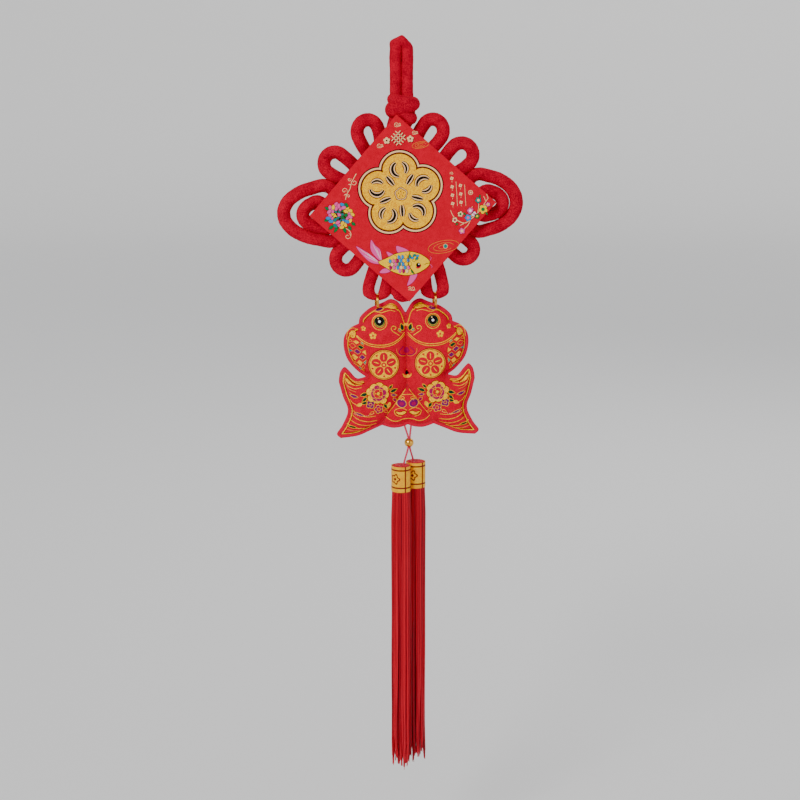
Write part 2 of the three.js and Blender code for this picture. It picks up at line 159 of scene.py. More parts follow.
for row in LIGHTS:
    lamp = bpy.data.lights.new(row["name"], "AREA")
    lamp.shape = "DISK"
    lamp.size = row["size"]
    lamp.energy = row["watts"]
    light = placed(row["name"], lamp)
    light.location = row["place"]
    light.rotation_euler = (LIGHT_AIM - light.location).to_track_quat("-Z", "Y").to_euler()

sun = placed("sun", bpy.data.lights.new("sun", "SUN"))
sun.data.energy = SUN["strength"]
sun.data.angle = math.radians(SUN["softness"])
sun.rotation_euler = SUN["from"].to_track_quat("Z", "Y").to_euler()

world = bpy.data.worlds.new("daylight")
world.use_nodes = True
sky = world.node_tree.nodes["Background"].inputs
sky["Color"].default_value = tone(238, 240, 246)
sky["Strength"].default_value = 0.55
bpy.context.scene.world = world

floor = start_from(
    "floor", bpy.ops.mesh.primitive_circle_add,
    vertices=96, radius=FLOOR_RADIUS, fill_type="NGON", location=(0, 0, -FLOOR_DROP),
)
bpy.ops.object.mode_set(mode="EDIT")
bpy.ops.mesh.select_all(action="SELECT")
for step in range(CURVE_STEPS):
    before, after = (turn * math.pi / 2 / CURVE_STEPS for turn in (step, step + 1))
    rise = FLOOR_CURVE * (math.cos(before) - math.cos(after))
    inner, outer = (FLOOR_RADIUS + FLOOR_CURVE * math.sin(turn) for turn in (before, after))
    bpy.ops.mesh.extrude_region_move(TRANSFORM_OT_translate={"value": (0, 0, rise)})
    bpy.ops.transform.resize(value=(outer / inner, outer / inner, 1))
bpy.ops.mesh.delete(type="ONLY_FACE")
bpy.ops.object.mode_set(mode="OBJECT")
bpy.ops.object.shade_smooth()
paper, start = new_finish("pale_paper", {"Roughness": 0.95})
mottle = start.node("TexNoise", {}, {"Scale": 3.0, "Detail": 4.0}, "Fac")
mottle.blend(tone(240, 239, 236), tone(245, 244, 242)).to("Base Color")
floor.data.materials.append(paper)

# The knot cord
# One thick cord of crimson chenille, tied by hand. It is woven back and forth into a diamond, turns
# round in an ear at each side of it, and rises through the connection knot into the hanging loop.
LEAN = math.radians(3.9)
KNOT_X = 0.8
KNOT_Z = -154.6
CORD_RADIUS = 6.1
STRANDS = 7
PITCH = 15.5
WEAVE_HALF = 51
WEAVE_RISE = 4.3
WEAVE_FADE = (43.25, 51)
FRONT_PRESS = -9.75
BOARD_HALF = 60.4
WEAVE_SIDES = {
    "upper left": lambda strand, out: ((strand - 3) * PITCH, -out),
    "lower left": lambda strand, out: (-out, (strand - 3) * PITCH),
    "upper right": lambda strand, out: (out, (3 - strand) * PITCH),
    "lower right": lambda strand, out: ((3 - strand) * PITCH, out),
}
FACING = {"upper left": "lower right", "lower left": "upper right"}
FACING.update({there: here for here, there in FACING.items()})
EARS = [
    {"ends": ("upper left", 4, "upper left", 5), "eye": (-30.5, -86), "half": (9.6, 10.8)},
    {"ends": ("upper left", 2, "upper left", 3), "eye": (-60.5, -114.2), "half": (9.8, 10.2)},
    {"ends": ("upper left", 1, "lower left", 1), "eye": (-67, -159.4), "half": (40.4, 24.4)},
    {"ends": ("upper left", 0, "lower left", 0), "eye": (-72, -160.6), "half": (18, 11.9)},
    {"ends": ("lower left", 2, "lower left", 3), "eye": (-50.8, -201.6), "half": (9.6, 10.2)},
    {"ends": ("upper right", 4, "upper right", 5), "eye": (28.4, -85.2), "half": (9.6, 10.4)},
    {"ends": ("upper right", 2, "upper right", 3), "eye": (54.6, -107), "half": (10.6, 10.8)},
    {"ends": ("upper right", 1, "lower right", 1), "eye": (70, -150.6), "half": (35.4, 25.4)},
    {"ends": ("upper right", 0, "lower right", 0), "eye": (77, -150.8), "half": (15.8, 11)},
    {"ends": ("lower right", 2, "lower right", 3), "eye": (57.2, -193.4), "half": (9.4, 9)},
    {"ends": ("lower left", 6, "lower right", 6), "eye": (1.6, -229.6), "half": (6.2, 6.2)},
    {"ends": ("lower left", 4, "lower left", 5), "eye": (-22.7, -229.5), "half": (7.6, 10.6)},
    {"ends": ("lower right", 4, "lower right", 5), "eye": (30.8, -228.6), "half": (7.6, 10.6)},
]
EAR_TURNS = (-95, -72, -48, -24, 0, 24, 48, 72, 95)
RINGED_EARS = EARS[-2:]
RINGED_RADIUS = 5.7
RINGED_SQUASH = 0.5
RINGED_DEPTH = 0.72
RINGED_FADE = 14
RINGED_REACH = 15
LOOP_RADIUS = 5.5
LOOP_ROUTE = [
    (-5.1, -70), (-5.1, -50), (-5.1, -32), (-5.1, -14), (-3.5, -7.9), (0.9, -5.9),
    (4.6, -9.3), (5.1, -14), (5.1, -32), (5.1, -50), (6.5, -72),
]
LOOP_FOLD = {
    "foot": -15, "half": 10.6, "tall": 14.6, "reach": 14, "sharpness": 12,
    "slopes": [(-0.55, 15.2), (1.16, 16.7)],
}
WRAPS = [
    {"left": (-13, -57, 5.4), "right": (16.4, -60.2, 5.6)},
    {"left": (-15, -66.2, 8.4), "right": (16.8, -61, 6.3)},
    {"left": (-9, -72.5, 5.4), "right": (14.3, -73.6, 6)},
]
WRAP_REACH = 14.9
WRAP_STEPS = 14
CORD_LUMPS = {"size": 1.5, "strength": 0.5}
WOVEN_SHARE = 0.985
CORD_DEEP = tone(144, 0, 26)
CORD_BRIGHT = tone(220, 0, 48)


def noise(start, scale, detail):
    """Noise that lies still on the object."""
    place = start.node("TexCoord", {}, {}, "Object")
    return start.node("TexNoise", {}, {"Vector": place, "Scale": scale, "Detail": detail}, "Fac")


def bump(height, strength, distance):
    settings = {"Strength": strength, "Distance": distance, "Height": height}
    height.node("Bump", {}, settings, "Normal").to("Normal")


def pile_cloth(name, deep, bright, grain, patch, depth, fixed, rim=None):
    """Napped cloth: fine fibre over softer patches where the nap lies another way."""
    material, start = new_finish(name, {"Roughness": 0.95, "Specular IOR Level": 0.06, **fixed})
    fibre = noise(start, 1 / grain, 4.0)
    brushed = noise(start, 1 / patch, 3.0)
    shade = fibre * 0.7 + brushed * 0.3
    colour = shade.over(0.36, 0.62).blend(deep, bright)
    # Along a rim the colour is blended towards the rim colour: partly the paler cut edge of the plush,
    # partly a painted sheen highlight where the nap catches the light.
    if rim:
        rim_sheen = start.node("Attribute", {"attribute_name": "rim"}, {}, "Fac")
        colour = (rim_sheen * (shade * 0.6 + 0.4)).blend(colour, rim)
    colour.to("Base Color")
    bump(fibre + brushed * 0.6, 1.0, depth)
    return material


def tubes(name, runs, radius, sides, steps=1, closed=False, smooth=True):
    """Round cords along runs of (point in mm, share of the radius), as one mesh."""
    curve = bpy.data.curves.new(name, "CURVE")
    curve.dimensions = "3D"
    curve.bevel_depth = radius * MM
    curve.bevel_resolution = (sides - 4) // 2
    curve.resolution_u = steps
    curve.use_fill_caps = not closed
    for run in runs:
        spline = curve.splines.new("BEZIER" if smooth else "POLY")
        spline.use_cyclic_u = closed
        points = spline.bezier_points if smooth else spline.points
        points.add(len(run) - 1)
        for point, (place, share) in zip(points, run):
            point.co = (*(Vector(place) * MM), 1)[: 3 if smooth else 4]
            point.radius = share
            if smooth:
                point.handle_left_type = point.handle_right_type = "AUTO"
    placed(name, curve)
    bpy.ops.object.convert(target="MESH")
    bpy.ops.object.shade_smooth()
    return bpy.context.object


def settle(piece, modifier):
    """Makes what the modifier does a part of the mesh."""
    only(piece)
    bpy.ops.object.modifier_apply(modifier=modifier.name)


def roughen(piece, size, strength):
    """Lumps of that size, pushed out and in by half the strength."""
    texture = bpy.data.textures.new(piece.name + "_lumps", "CLOUDS")
    texture.noise_scale = size * MM
    push = piece.modifiers.new("lumps", "DISPLACE")
    push.texture = texture
    push.texture_coords = "LOCAL"
    push.strength = strength * MM
    settle(piece, push)


def dress(piece, material, slot, *nodes):
    piece.data.materials.clear()
    piece.data.materials.append(material)
    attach(piece, "root")
    if nodes:
        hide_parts(*nodes)


def turned(x, z, lean):
    """The place x, z turned anticlockwise by lean, as seen from the front."""
    cos, sin = math.cos(lean), math.sin(lean)
    return x * cos - z * sin, x * sin + z * cos


def in_weave(along, across, y=0.0):
    """A place in the weave: along runs up to the right, and across runs down to the right."""
    x, z = turned(along, -across, LEAN + math.pi / 4)
    return Vector((KNOT_X + x, y, KNOT_Z + z))


def soft_step(value, low, high):
    share = min(1, max(0, (value - low) / (high - low)))
    return share * share * (3 - 2 * share)


def strand_through(side, strand):
    """The strand that goes in at that end of the weave, over and under the others, and out again."""
    run = []
    first_over = -1 if side in ("upper left", "lower right") else 1
    for out in (WEAVE_HALF, *((3 - turn) * PITCH for turn in range(STRANDS)), -WEAVE_HALF):
        along, across = WEAVE_SIDES[side](strand, out)
        beat = first_over * math.cos(math.pi * (along + across) / PITCH)
        height = WEAVE_RISE * beat * (1 - soft_step(abs(out), *WEAVE_FADE))
        run.append((in_weave(along, across, height), WOVEN_SHARE))
    return run


def ear_round(row):
    """The turn of an ear, from the first of its ends to the second, by the far side of its eye."""
    side, strand, back_side, back_strand = row["ends"]
    leave = in_weave(*WEAVE_SIDES[side](strand, WEAVE_HALF))
    enter = in_weave(*WEAVE_SIDES[back_side](back_strand, WEAVE_HALF))
    eye = Vector((row["eye"][0], 0, row["eye"][1]))
    away = (eye - (leave + enter) / 2).normalized()
    sideways = leave - enter
    sideways = (sideways - away * sideways.dot(away)).normalized()
    share = RINGED_RADIUS / CORD_RADIUS if row in RINGED_EARS else 1
    run = []
    for degrees in EAR_TURNS:
        turn = math.radians(degrees)
        reach = away * math.cos(turn) - sideways * math.sin(turn)
        place = eye + Vector((reach.x * row["half"][0], 0, reach.z * row["half"][1]))
        run.append((place, share))
    return run


def traced_cords():
    """Follows the cord from strand to ear to strand until it is back where it set out."""
    loop = [(Vector((x, 0, z)), LOOP_RADIUS / CORD_RADIUS) for x, z in LOOP_ROUTE]
    turns = {
        ("upper left", 6): (("upper right", 6), loop),
        ("upper right", 6): (("upper left", 6), loop[::-1]),
    }
    for row in EARS:
        side, strand, back_side, back_strand = row["ends"]
        turns[side, strand] = ((back_side, back_strand), ear_round(row))
        turns[back_side, back_strand] = ((side, strand), ear_round(row)[::-1])
    waiting = sorted(turns)
    cords = []
    while waiting:
        end = waiting[0]
        cord = []
        while end in waiting:
            far = (FACING[end[0]], STRANDS - 1 - end[1])
            waiting.remove(end)
            waiting.remove(far)
            cord += strand_through(*end)
            end, around = turns[far]
            cord += around
        cords.append(cord)
    return cords


def wrap_round(row):
    """A turn of the connection knot, between its two ends of outermost x, z and half thickness."""
    (left, left_z, left_thick), (right, right_z, right_thick) = row["left"], row["right"]
    first = Vector((right - right_thick, right_z, right_thick))
    second = Vector((left + left_thick, left_z, left_thick))
    run = []
    for step in range(WRAP_STEPS):
        turn = step * math.tau / WRAP_STEPS
        x, z, thick = first.lerp(second, (1 - math.cos(turn)) / 2)
        run.append((Vector((x, (WRAP_REACH - thick) * math.sin(turn), z)), thick / CORD_RADIUS))
    return run


def folded(place):
    """The top of the loop is pinched to a fold, steeper on its right."""
    up = place.z - LOOP_FOLD["foot"]
    if up <= 0 or abs(place.x) > LOOP_FOLD["reach"]:
        return place
    round_share = math.hypot(place.x / LOOP_FOLD["half"], up / LOOP_FOLD["tall"])
    sides = [abs(place.x) / LOOP_FOLD["half"]]
    sides += [max(0, (up + slope * place.x) / height) for slope, height in LOOP_FOLD["slopes"]]
    fold_share = sum(side ** LOOP_FOLD["sharpness"] for side in sides) ** (1 / LOOP_FOLD["sharpness"])
    stretch = 1 + (round_share / fold_share - 1) * soft_step(round_share, 0.35, 1)
    return Vector((place.x * stretch, place.y, LOOP_FOLD["foot"] + up * stretch))


def behind_board(place):
    """The board presses flat what lies behind it."""
    off_middle = turned(place.x - KNOT_X, place.z - KNOT_Z, math.pi / 4 - LEAN)
    outside = max(map(abs, off_middle)) - BOARD_HALF
    pressed = max(place.y, FRONT_PRESS)
    return pressed + (place.y - pressed) * soft_step(outside, 0, 2.5)


chenille = pile_cloth(
    "chenille", CORD_DEEP, CORD_BRIGHT, grain=0.0008, patch=0.009, depth=0.0007,
    fixed={"Sheen Weight": 0.3, "Sheen Roughness": 0.4, "Sheen Tint": tone(255, 40, 66)},
)
cords = traced_cords() + [wrap_round(row) for row in WRAPS]
knot = tubes("knot_cord_chenille", cords, CORD_RADIUS, sides=20, steps=11, closed=True)
for vertex in knot.data.vertices:
    place = vertex.co / MM
    for row in RINGED_EARS:
        turn_top = row["eye"][1] - row["half"][1] + RINGED_RADIUS
        if abs(place.x - row["eye"][0]) > RINGED_REACH:
            continue
        place.y *= 1 - (1 - RINGED_DEPTH) * soft_step(-place.z, -turn_top - RINGED_FADE, -turn_top)
        if place.z < turn_top:
            place.z = turn_top + (place.z - turn_top) * RINGED_SQUASH
    place = folded(place)
    place.y = behind_board(place)
    vertex.co = place * MM
roughen(knot, **CORD_LUMPS)
dress(knot, chenille, "cord", "knot_cord")

# The board
# A square of stiff card wrapped in scarlet flannel. The cloth is folded over the edges and glued down
# behind, with a mitre at each corner, and the board is glued to the front of the weave on its corner.
BOARD_SIDE = 120
BOARD_THICK = 4.2
BOARD_FRONT = -14.4
BOARD_ROUND = 1.5
HEM_WIDTH = 9
HEM_THICK = 0.25
BOARD_LUMPS = {"size": 14, "strength": 0.25}
BOARD_DEEP = tone(192, 0, 30)
BOARD_BRIGHT = tone(222, 0, 46)


def on_board(u, w, lift=0.0):
    """A place on the board, u to its right and w up from its middle, in mm."""
    x, z = turned(u, w, LEAN)
    return Vector((KNOT_X + x, BOARD_FRONT - lift, KNOT_Z + z)) * MM


def round_edges(radius, **more):
    """Rounds the sharp edges of the mesh in edit mode."""
    bpy.ops.mesh.select_all(action="DESELECT")
    bpy.ops.mesh.edges_select_sharp(sharpness=math.radians(60))
    bpy.ops.mesh.bevel(offset=radius * MM, segments=4, affect="EDGES", **more)


flannel = pile_cloth(
    "flannel", BOARD_DEEP, BOARD_BRIGHT, grain=0.0006, patch=0.004, depth=0.00025,
    fixed={"Sheen Weight": 0.1, "Sheen Roughness": 0.5, "Sheen Tint": tone(255, 40, 60)},
)
board = start_from(
    "board_wrapped", bpy.ops.mesh.primitive_cube_add,
    size=1, scale=(BOARD_SIDE * MM, BOARD_THICK * MM, BOARD_SIDE * MM),
)
bpy.ops.object.transform_apply(location=False, rotation=False, scale=True)
bpy.ops.object.mode_set(mode="EDIT")
bpy.ops.mesh.select_all(action="SELECT")
bpy.ops.mesh.subdivide(number_cuts=29)
round_edges(BOARD_ROUND, clamp_overlap=True)
bpy.ops.object.mode_set(mode="OBJECT")
for vertex in board.data.vertices:
    u, y, w = vertex.co / MM
    edge = BOARD_SIDE / 2 - max(abs(u), abs(w))
    if y > BOARD_THICK * 0.3:
        y += HEM_THICK * (soft_step(HEM_WIDTH - edge, 0, 0.8) - 1)
    vertex.co = on_board(*turned(u, w, math.pi / 4), -(y + BOARD_THICK / 2))
roughen(board, **BOARD_LUMPS)
only(board)
bpy.ops.object.shade_smooth_by_angle(angle=math.radians(50))
dress(board, flannel, "board_cloth", "board")

# The printing
# Inks and glitter gilt are screened on the cloth in thin films, one colour over another. A print
# is drawn flat, u to the right and w up in mm, laid on what carries it, and given its thickness.
FILM = 0.12
LAYER = 0.05
# Each ink's colour, and how much gilt glitter is in it
INKS = {
    "gilt": (tone(255, 192, 0), 1.0),
    "old gilt": (tone(232, 142, 48), 0.6),
    "cream": (tone(252, 204, 146), 0.1),
    "brown": (tone(88, 4, 2), 0.0),
    "black": (tone(16, 6, 8), 0.0),
    "red": (tone(205, 0, 38), 0.0),
    "pink": (tone(234, 84, 158), 0.0),
    "rose": (tone(166, 0, 80), 0.0),
    "purple": (tone(116, 0, 96), 0.0),
    "yellow": (tone(255, 206, 0), 0.3),
    "teal": (tone(8, 128, 120), 0.0),
    "green": (tone(20, 116, 56), 0.0),
    "leaf": (tone(12, 54, 36), 0.0),
    "blue": (tone(36, 136, 200), 0.0),
    "white": (tone(250, 246, 240), 0.0),
}


def spline(points, steps=6, closed=False):
    """A smooth line through the points."""
    points = [Vector(point) for point in points]
    count = len(points)
    made = []
    for i in range(count if closed else count - 1):
        near = [(k % count) if closed else min(max(k, 0), count - 1) for k in range(i - 1, i + 3)]
        a, b, c, d = (points[k] for k in near)
        for t in (step / steps for step in range(steps)):
            place = b * 2 + (c - a) * t + (a * 2 - b * 5 + c * 4 - d) * t * t
            made.append((place + (b * 3 - a - c * 3 + d) * t**3) / 2)
    return made if closed else [*made, points[-1]]


def polar(u, w, reach, angle):
    """The place that far from u, w, at that angle."""
    return Vector((u + reach * math.cos(angle), w + reach * math.sin(angle)))


def ring_of(u, w, radius, tall=None, turn=0.0, count=28):
    """A circle or an ellipse as a closed line."""
    size = Matrix.Diagonal((radius, tall or radius))
    spin = Matrix.Rotation(turn, 2)
    return [Vector((u, w)) + spin @ size @ polar(0, 0, 1, i * math.tau / count) for i in range(count)]


def lobed(u, w, radius, petals, depth, turn=0.0, count=90):
    """A blossom's outline, with round petals."""
    made = []
    for i in range(count):
        angle = i * math.tau / count
        swell = 1 - depth + depth * abs(math.cos(petals * angle / 2)) ** 0.7
        made.append(polar(u, w, radius * swell, angle + turn))
    return made


def leaf_of(u, w, length, width, degrees):
    """A pointed leaf whose foot is at u, w."""
    aim = math.radians(degrees)
    upper, lower = [], []
    for i in range(9):
        rib = polar(u, w, length * i / 8, aim)
        half = width / 2 * math.sin(math.pi * (i / 8) ** 0.8)
        upper.append(polar(*rib, half, aim + math.pi / 2))
        lower.append(polar(*rib, half, aim - math.pi / 2))
    return upper + lower[-2:0:-1]


def curl_of(u, w, size, degrees, hand=1):
    """A scroll that winds in to u, w by a little over a turn."""
    winding = [(i / 21, math.radians(degrees + hand * 414 * i / 21)) for i in range(22)]
    return [polar(u, w, size * (1 - 0.82 * t), angle) for t, angle in winding]


def arc_of(u, w, radius, first, last, count=14):
    pace = (last - first) / (count - 1)
    return [polar(u, w, radius, math.radians(first + pace * i)) for i in range(count)]


def grown(outline, by):
    """The closed outline moved outwards, or inwards if by is below 0."""
    area = sum(a.x * b.y - b.x * a.y for a, b in zip(outline, outline[1:] + outline[:1]))
    made = []
    for i, point in enumerate(outline):
        run = outline[(i + 1) % len(outline)] - outline[i - 1]
        out = Vector((run.y, -run.x)).normalized() * (1 if area > 0 else -1)
        made.append(point + out * by)
    return made


def thicken(piece, thickness):
    """Gives a thin sheet its thickness, on the side away from its face."""
    sheet = piece.modifiers.new("thickness", "SOLIDIFY")
    sheet.thickness = thickness * MM
    sheet.offset = -1
    settle(piece, sheet)


class Print:
    """Flat inks, gathered one over another and then laid on what carries them."""

    def __init__(self, name, cell):
        self.name = name
        self.cell = cell
        self.mesh = bmesh.new()
        self.ink = self.mesh.loops.layers.float_color.new("ink")

    def add(self, ink, places, faces, layer):
        colour, gilt = INKS[ink]
        made = [self.mesh.verts.new((place[0], layer * LAYER, place[1])) for place in places]
        for corners in faces:
            face = self.mesh.faces.new([made[corner] for corner in corners])
            for loop in face.loops:
                loop[self.ink] = (*colour[:3], gilt)

    def fill(self, ink, outline, layer=1):
        """A patch of ink, with points inside it so that it can follow a curved face."""
        outline = [Vector(point) for point in outline]
        cell = self.cell
        columns, rows = (
            range(math.ceil(min(places) / cell), math.floor(max(places) / cell) + 1)
            for places in zip(*outline)
        )
        inner = [Vector((column * cell, row * cell)) for row in rows for column in columns]
        loop = list(range(len(outline)))
        made = geometry.delaunay_2d_cdt(outline + inner, [], [loop], 1, 1e-4)
        self.add(ink, made[0], made[2], layer)

    def line(self, ink, points, width, layer=1, closed=False, taper=0.0):
        """A drawn line. A taper of 1 brings both ends to a point."""
        points = [Vector(point) for point in points]
        count = len(points)
        places, faces = [], []
        for i, point in enumerate(points):
            before = points[i - 1] if closed or i else point
            after = points[(i + 1) % count] if closed or i < count - 1 else point
            run = (after - before).normalized()
            half = Vector((-run.y, run.x)) * width / 2
            half *= 1 - taper * (1 - math.sin(math.pi * (i + 0.4) / (count - 0.2)))
            places += [point + half, point - half]
            if i < count - 1 or closed:
                following = (i + 1) % count
                faces.append((2 * i, 2 * i + 1, 2 * following + 1, 2 * following))
        self.add(ink, places, faces, layer)

    def edged(self, ink, outline, edge, width, layer=1):
        """A patch with a drawn edge round it."""
        self.fill(ink, outline, layer)
        self.line(edge, outline, width, layer + 1, closed=True)

    def lay(self, carrier, material, slot):
        """Lays the inks on the carrier, a function of u, w and lift, and dresses the piece."""
        for vertex in self.mesh.verts:
            vertex.co = carrier(vertex.co.x, vertex.co.z, vertex.co.y + FILM)
        for face in self.mesh.faces:
            face.normal_update()
            if face.normal.y > 0:
                face.normal_flip()
        mesh = bpy.data.meshes.new(self.name)
        self.mesh.to_mesh(mesh)
        self.mesh.free()
        piece = placed(self.name, mesh)
        thicken(piece, FILM)
        dress(piece, material, slot)


# Ink takes its colour from the print, and gilt is a glitter of small bright flakes.
inked, start = new_finish("screened_ink", {"Specular IOR Level": 0.08})
ink, gilt = (start.node("Attribute", {"attribute_name": "ink"}, {}, part) for part in ("Color", "Alpha"))
place = start.node("TexCoord", {}, {}, "Object")
flake = start.node("TexVoronoi", {}, {"Vector": place, "Scale": 1500.0}, "Color")
spark = start.node("SeparateColor", {}, {0: flake}, 0)
grain = noise(start, 420.0, 3.0)
tinted, added = ({"data_type": "RGBA", "blend_type": kind} for kind in ("MULTIPLY", "ADD"))
dull = start.node("Mix", tinted, {0: 1.0, 6: ink, 7: tone(240, 214, 170)}, 2)
bright = start.node("Mix", added, {0: 0.35, 6: ink, 7: ink}, 2)
glitter = (spark * 0.5 + grain * 0.5).over(0.3, 0.7).blend(dull, bright)
gilt.blend(ink, glitter).to("Base Color")
(gilt * 0.25).to("Metallic")
(0.75 - gilt * 0.3 + spark * gilt * 0.15).to("Roughness")
bump(spark * gilt + grain * 0.3, 0.5, 0.0003)

# The board's print
# In the middle a plump gilt blossom with a cream, brown and black edge. Round it a lattice knot with
# buds, a posy on a vine, a plum branch beside two ruled lines, a carp, ripples and small clouds.
MEDAL = (-1, 14)
MEDAL_RADIUS = 36
POSY = (-57.6, -1.2)
POSY_RADIUS = 11.4
POSY_PETALS = 44
PETALS = [math.radians(90 + petal * 72) for petal in range(5)]
MEDAL_EDGES = [("black", 4.0), ("cream", 3.1), ("brown", 1.5), ("gilt", 0.0)]
HEART_EDGES = [("brown", 6.4), ("cream", 5.8), ("brown", 5.1), ("gilt", 4.6)]
SLIT_EDGES = [("brown", 4.0), ("cream", 2.3), ("black", 0.0)]
GOLDEN_ANGLE = 2.39996

front = Print("board_print", 6)

# The blossom in the middle, with its slits and its heart
medal = lobed(*MEDAL, MEDAL_RADIUS, 5, 0.3, math.pi / 2, 150)
for layer, (ink, by) in enumerate(MEDAL_EDGES, 1):
    front.fill(ink, grown(medal, by), layer)
for aim in PETALS:
    hub = polar(*MEDAL, 22.4, aim)
    turn = math.degrees(aim)
    inner, outer = (polar(*MEDAL, reach, aim + math.pi / 5) for reach in (10, 20.5))
    for slit, wide in (
        (arc_of(*hub, 6.4, turn + 25, turn + 175), 2.4),
        (arc_of(*hub, 6.4, turn - 25, turn - 130), 1.8),
        ([inner.lerp(outer, t / 8) for t in range(9)], 2.2),
    ):
        for layer, (ink, extra) in enumerate(SLIT_EDGES, 5):
            front.line(ink, slit, wide + extra, layer, taper=0.55)
for layer, (ink, radius) in enumerate(HEART_EDGES, 5):
    front.fill(ink, lobed(*MEDAL, radius, 5, 0.18, math.pi / 2), layer)
for aim in PETALS:
    front.fill("brown", ring_of(*polar(*MEDAL, 2.4, aim), 0.5, count=10), 9)

# The lattice knot and its two buds, then the clouds, the ripples and a drop
for shift, ink, layer in ((0.45, "black", 1), (0, "cream", 2)):
    for off in (-2.015, 0, 2.015):
        for hand in (-1, 1):
            middle = Vector((shift + hand * off, 64.2 - shift + off))
            run = Vector((-hand, 1)) * 4.3
            front.line(ink, [middle - run, middle, middle + run], 0.85, layer)
    for hand in (-1, 1):
        front.fill(ink, lobed(shift + hand * 10.6, 62.6 - shift, 3.1, 5, 0.35, 0.3), layer)
        front.fill("red", ring_of(hand * 10.6, 62.6, 0.8, count=12), 3)
for u, w, size, hand in (
    (-0.8, 76.2, 2.0, 1), (14.6, 68.0, 1.7, 1), (-17.6, 58.6, 1.9, 1), (4, -72.6, 2.1, -1),
):
    foot = [(u - hand * size, w - size * 0.7), (u, w - size), (u + hand * size * 2, w - size * 0.5)]
    for cloud_line in (
        curl_of(u, w, size, 200, -hand),
        curl_of(u + hand * size * 1.25, w + size * 0.15, size * 0.7, 180, hand),
        spline(foot),
    ):
        front.line("cream", cloud_line, 0.42)
for u, w, wide, tall in ((19.4, 56.6, 7.6, 2.9), (34.4, -36.8, 14.2, 5.6)):
    for share, shown in ((1, 36), (0.64, 33), (0.32, 33)):
        ripple = ring_of(u, w, wide * share, tall * share, 0.1, 36)[:shown]
        front.line("old gilt", ripple, 0.32)
front.fill("teal", ring_of(36.2, -36.4, 1.6, 1.9, count=14), 2)
front.line("cream", ring_of(36.2, -36.4, 1.8, 2.1, count=16), 0.35, 3, closed=True)

# The vine, and the posy that grows on it
vine = spline([(-51.4, 12.4), (-50, 17), (-46.6, 22), (-45, 27), (-41.2, 33.4)], 7)
front.line("cream", vine, 0.55)
for u, w, size, degrees, hand in (
    (-42.4, 27.4, 2.9, 150, 1), (-51.8, 20.6, 2.7, 330, 1), (-46.6, 30.4, 1.7, 20, -1),
    (-48.6, 15.4, 1.6, 180, -1), (-52, -20.8, 3.0, 60, -1),
):
    front.line("cream", curl_of(u, w, size, degrees, hand), 0.5, taper=0.3)
for u, w, length, degrees in ((-41.2, 33.2, 2.6, 60), (-45.4, 25.6, 2.6, 170), (-50.2, 17.4, 2.6, 200)):
    front.fill("cream", leaf_of(u, w, length, 0.9, degrees), 2)
front.line("cream", spline([(-54, -13), (-50.4, -15.4), (-48.8, -19), (-49.8, -22.4)], 6), 0.55)

for u, w, length, degrees in (
    (-60, -11, 7, 235), (-55, -12, 6.5, 285), (-66.5, 4.5, 5, 150), (-68, -4, 4.5, 200),
    (-47.5, -8.6, 4.6, 320), (-64, -10, 6, 215), (-50.6, -11.4, 5, 300),
):
    front.edged("green", leaf_of(u, w, length, 3, degrees), "leaf", 0.3, 1)
draw = random.Random(6)
for i in range(POSY_PETALS):
    out = POSY_RADIUS * math.sqrt((POSY_PETALS - 0.5 - i) / POSY_PETALS)
    petal = ring_of(*polar(*POSY, out, i * GOLDEN_ANGLE), 2.4, 1.6, draw.uniform(0, 3.1), 12)
    ink = draw.choice(["yellow", "yellow", "yellow", "pink", "pink", "blue", "teal", "green"])
    front.edged(ink, petal, "brown", 0.22, 3 + 2 * (i % 5))

# The two ruled lines with small blossoms, a curl and a round blossom
for u, top, foot in ((49.4, 21.6, -0.6), (57.0, 18.2, -1.2)):
    front.line("cream", [(u, top), (u, (top + foot) / 2), (u, foot)], 0.36)
for u, w in ((45.8, 24.6), (45.6, 17), (45.4, 9.4), (45.2, 1.8), (53.2, 17.6), (53, 10), (52.8, 2.4)):
    front.fill("cream", lobed(u, w, 1.7, 4, 0.45, 0.4), 1)
    front.fill("red", ring_of(u, w, 0.45, count=8), 2)
    front.line("cream", [(u, w - 2.4), (u, w - 3.6)], 0.34)
front.line("cream", curl_of(46, 29, 1.6, 200, -1), 0.4)
front.line("cream", ring_of(62, 10.6, 1.9, count=20), 0.5, closed=True)
front.fill("cream", lobed(62, 10.6, 1.0, 5, 0.4), 2)

# The plum branch, its twigs, blossoms and leaves
branch = [
    (77.6, 4.4), (73, -1.6), (67, -8.6), (61, -13.4), (55, -16.6), (49, -14), (45, -9.6), (42.8, -4),
]
front.line("cream", spline(branch), 0.7, 2, taper=0.4)
for twig in (
    [(61, -13.4), (57.5, -19), (52.6, -23)], [(67, -8.6), (68.6, -3), (68.6, 2.4)],
    [(73, -1.6), (77.4, -1.4)], [(55, -16.6), (50.6, -18.6)], [(62.4, -12.4), (61, -6.4), (63, -2)],
    [(75.4, 1.6), (73.6, 6.6)], [(77.6, 4.4), (76.4, 8.4)],
):
    front.line("cream", spline(twig, 5), 0.5, 2, taper=0.3)
for u, w, radius, ink, heart in (
    (72.4, -5.4, 3.4, "yellow", "green"), (60.8, -5.8, 2.5, "pink", "white"),
    (58.4, -12, 2.6, "blue", "pink"), (51.6, -8.2, 2.2, "cream", "green"),
    (46.2, -13.2, 2.2, "cream", "rose"), (52, -23.6, 2.4, "pink", "cream"),
    (68.6, 3.2, 2.4, "teal", "cream"), (66.6, -11.2, 2.0, "green", "yellow"),
    (77.2, -1.2, 1.8, "pink", "yellow"), (64, -9, 1.9, "white", "pink"),
):
    front.edged(ink, lobed(u, w, radius * 1.25, 5, 0.3, u), "brown", 0.25, 3)
    front.fill(heart, ring_of(u, w, radius * 0.5, count=12), 5)
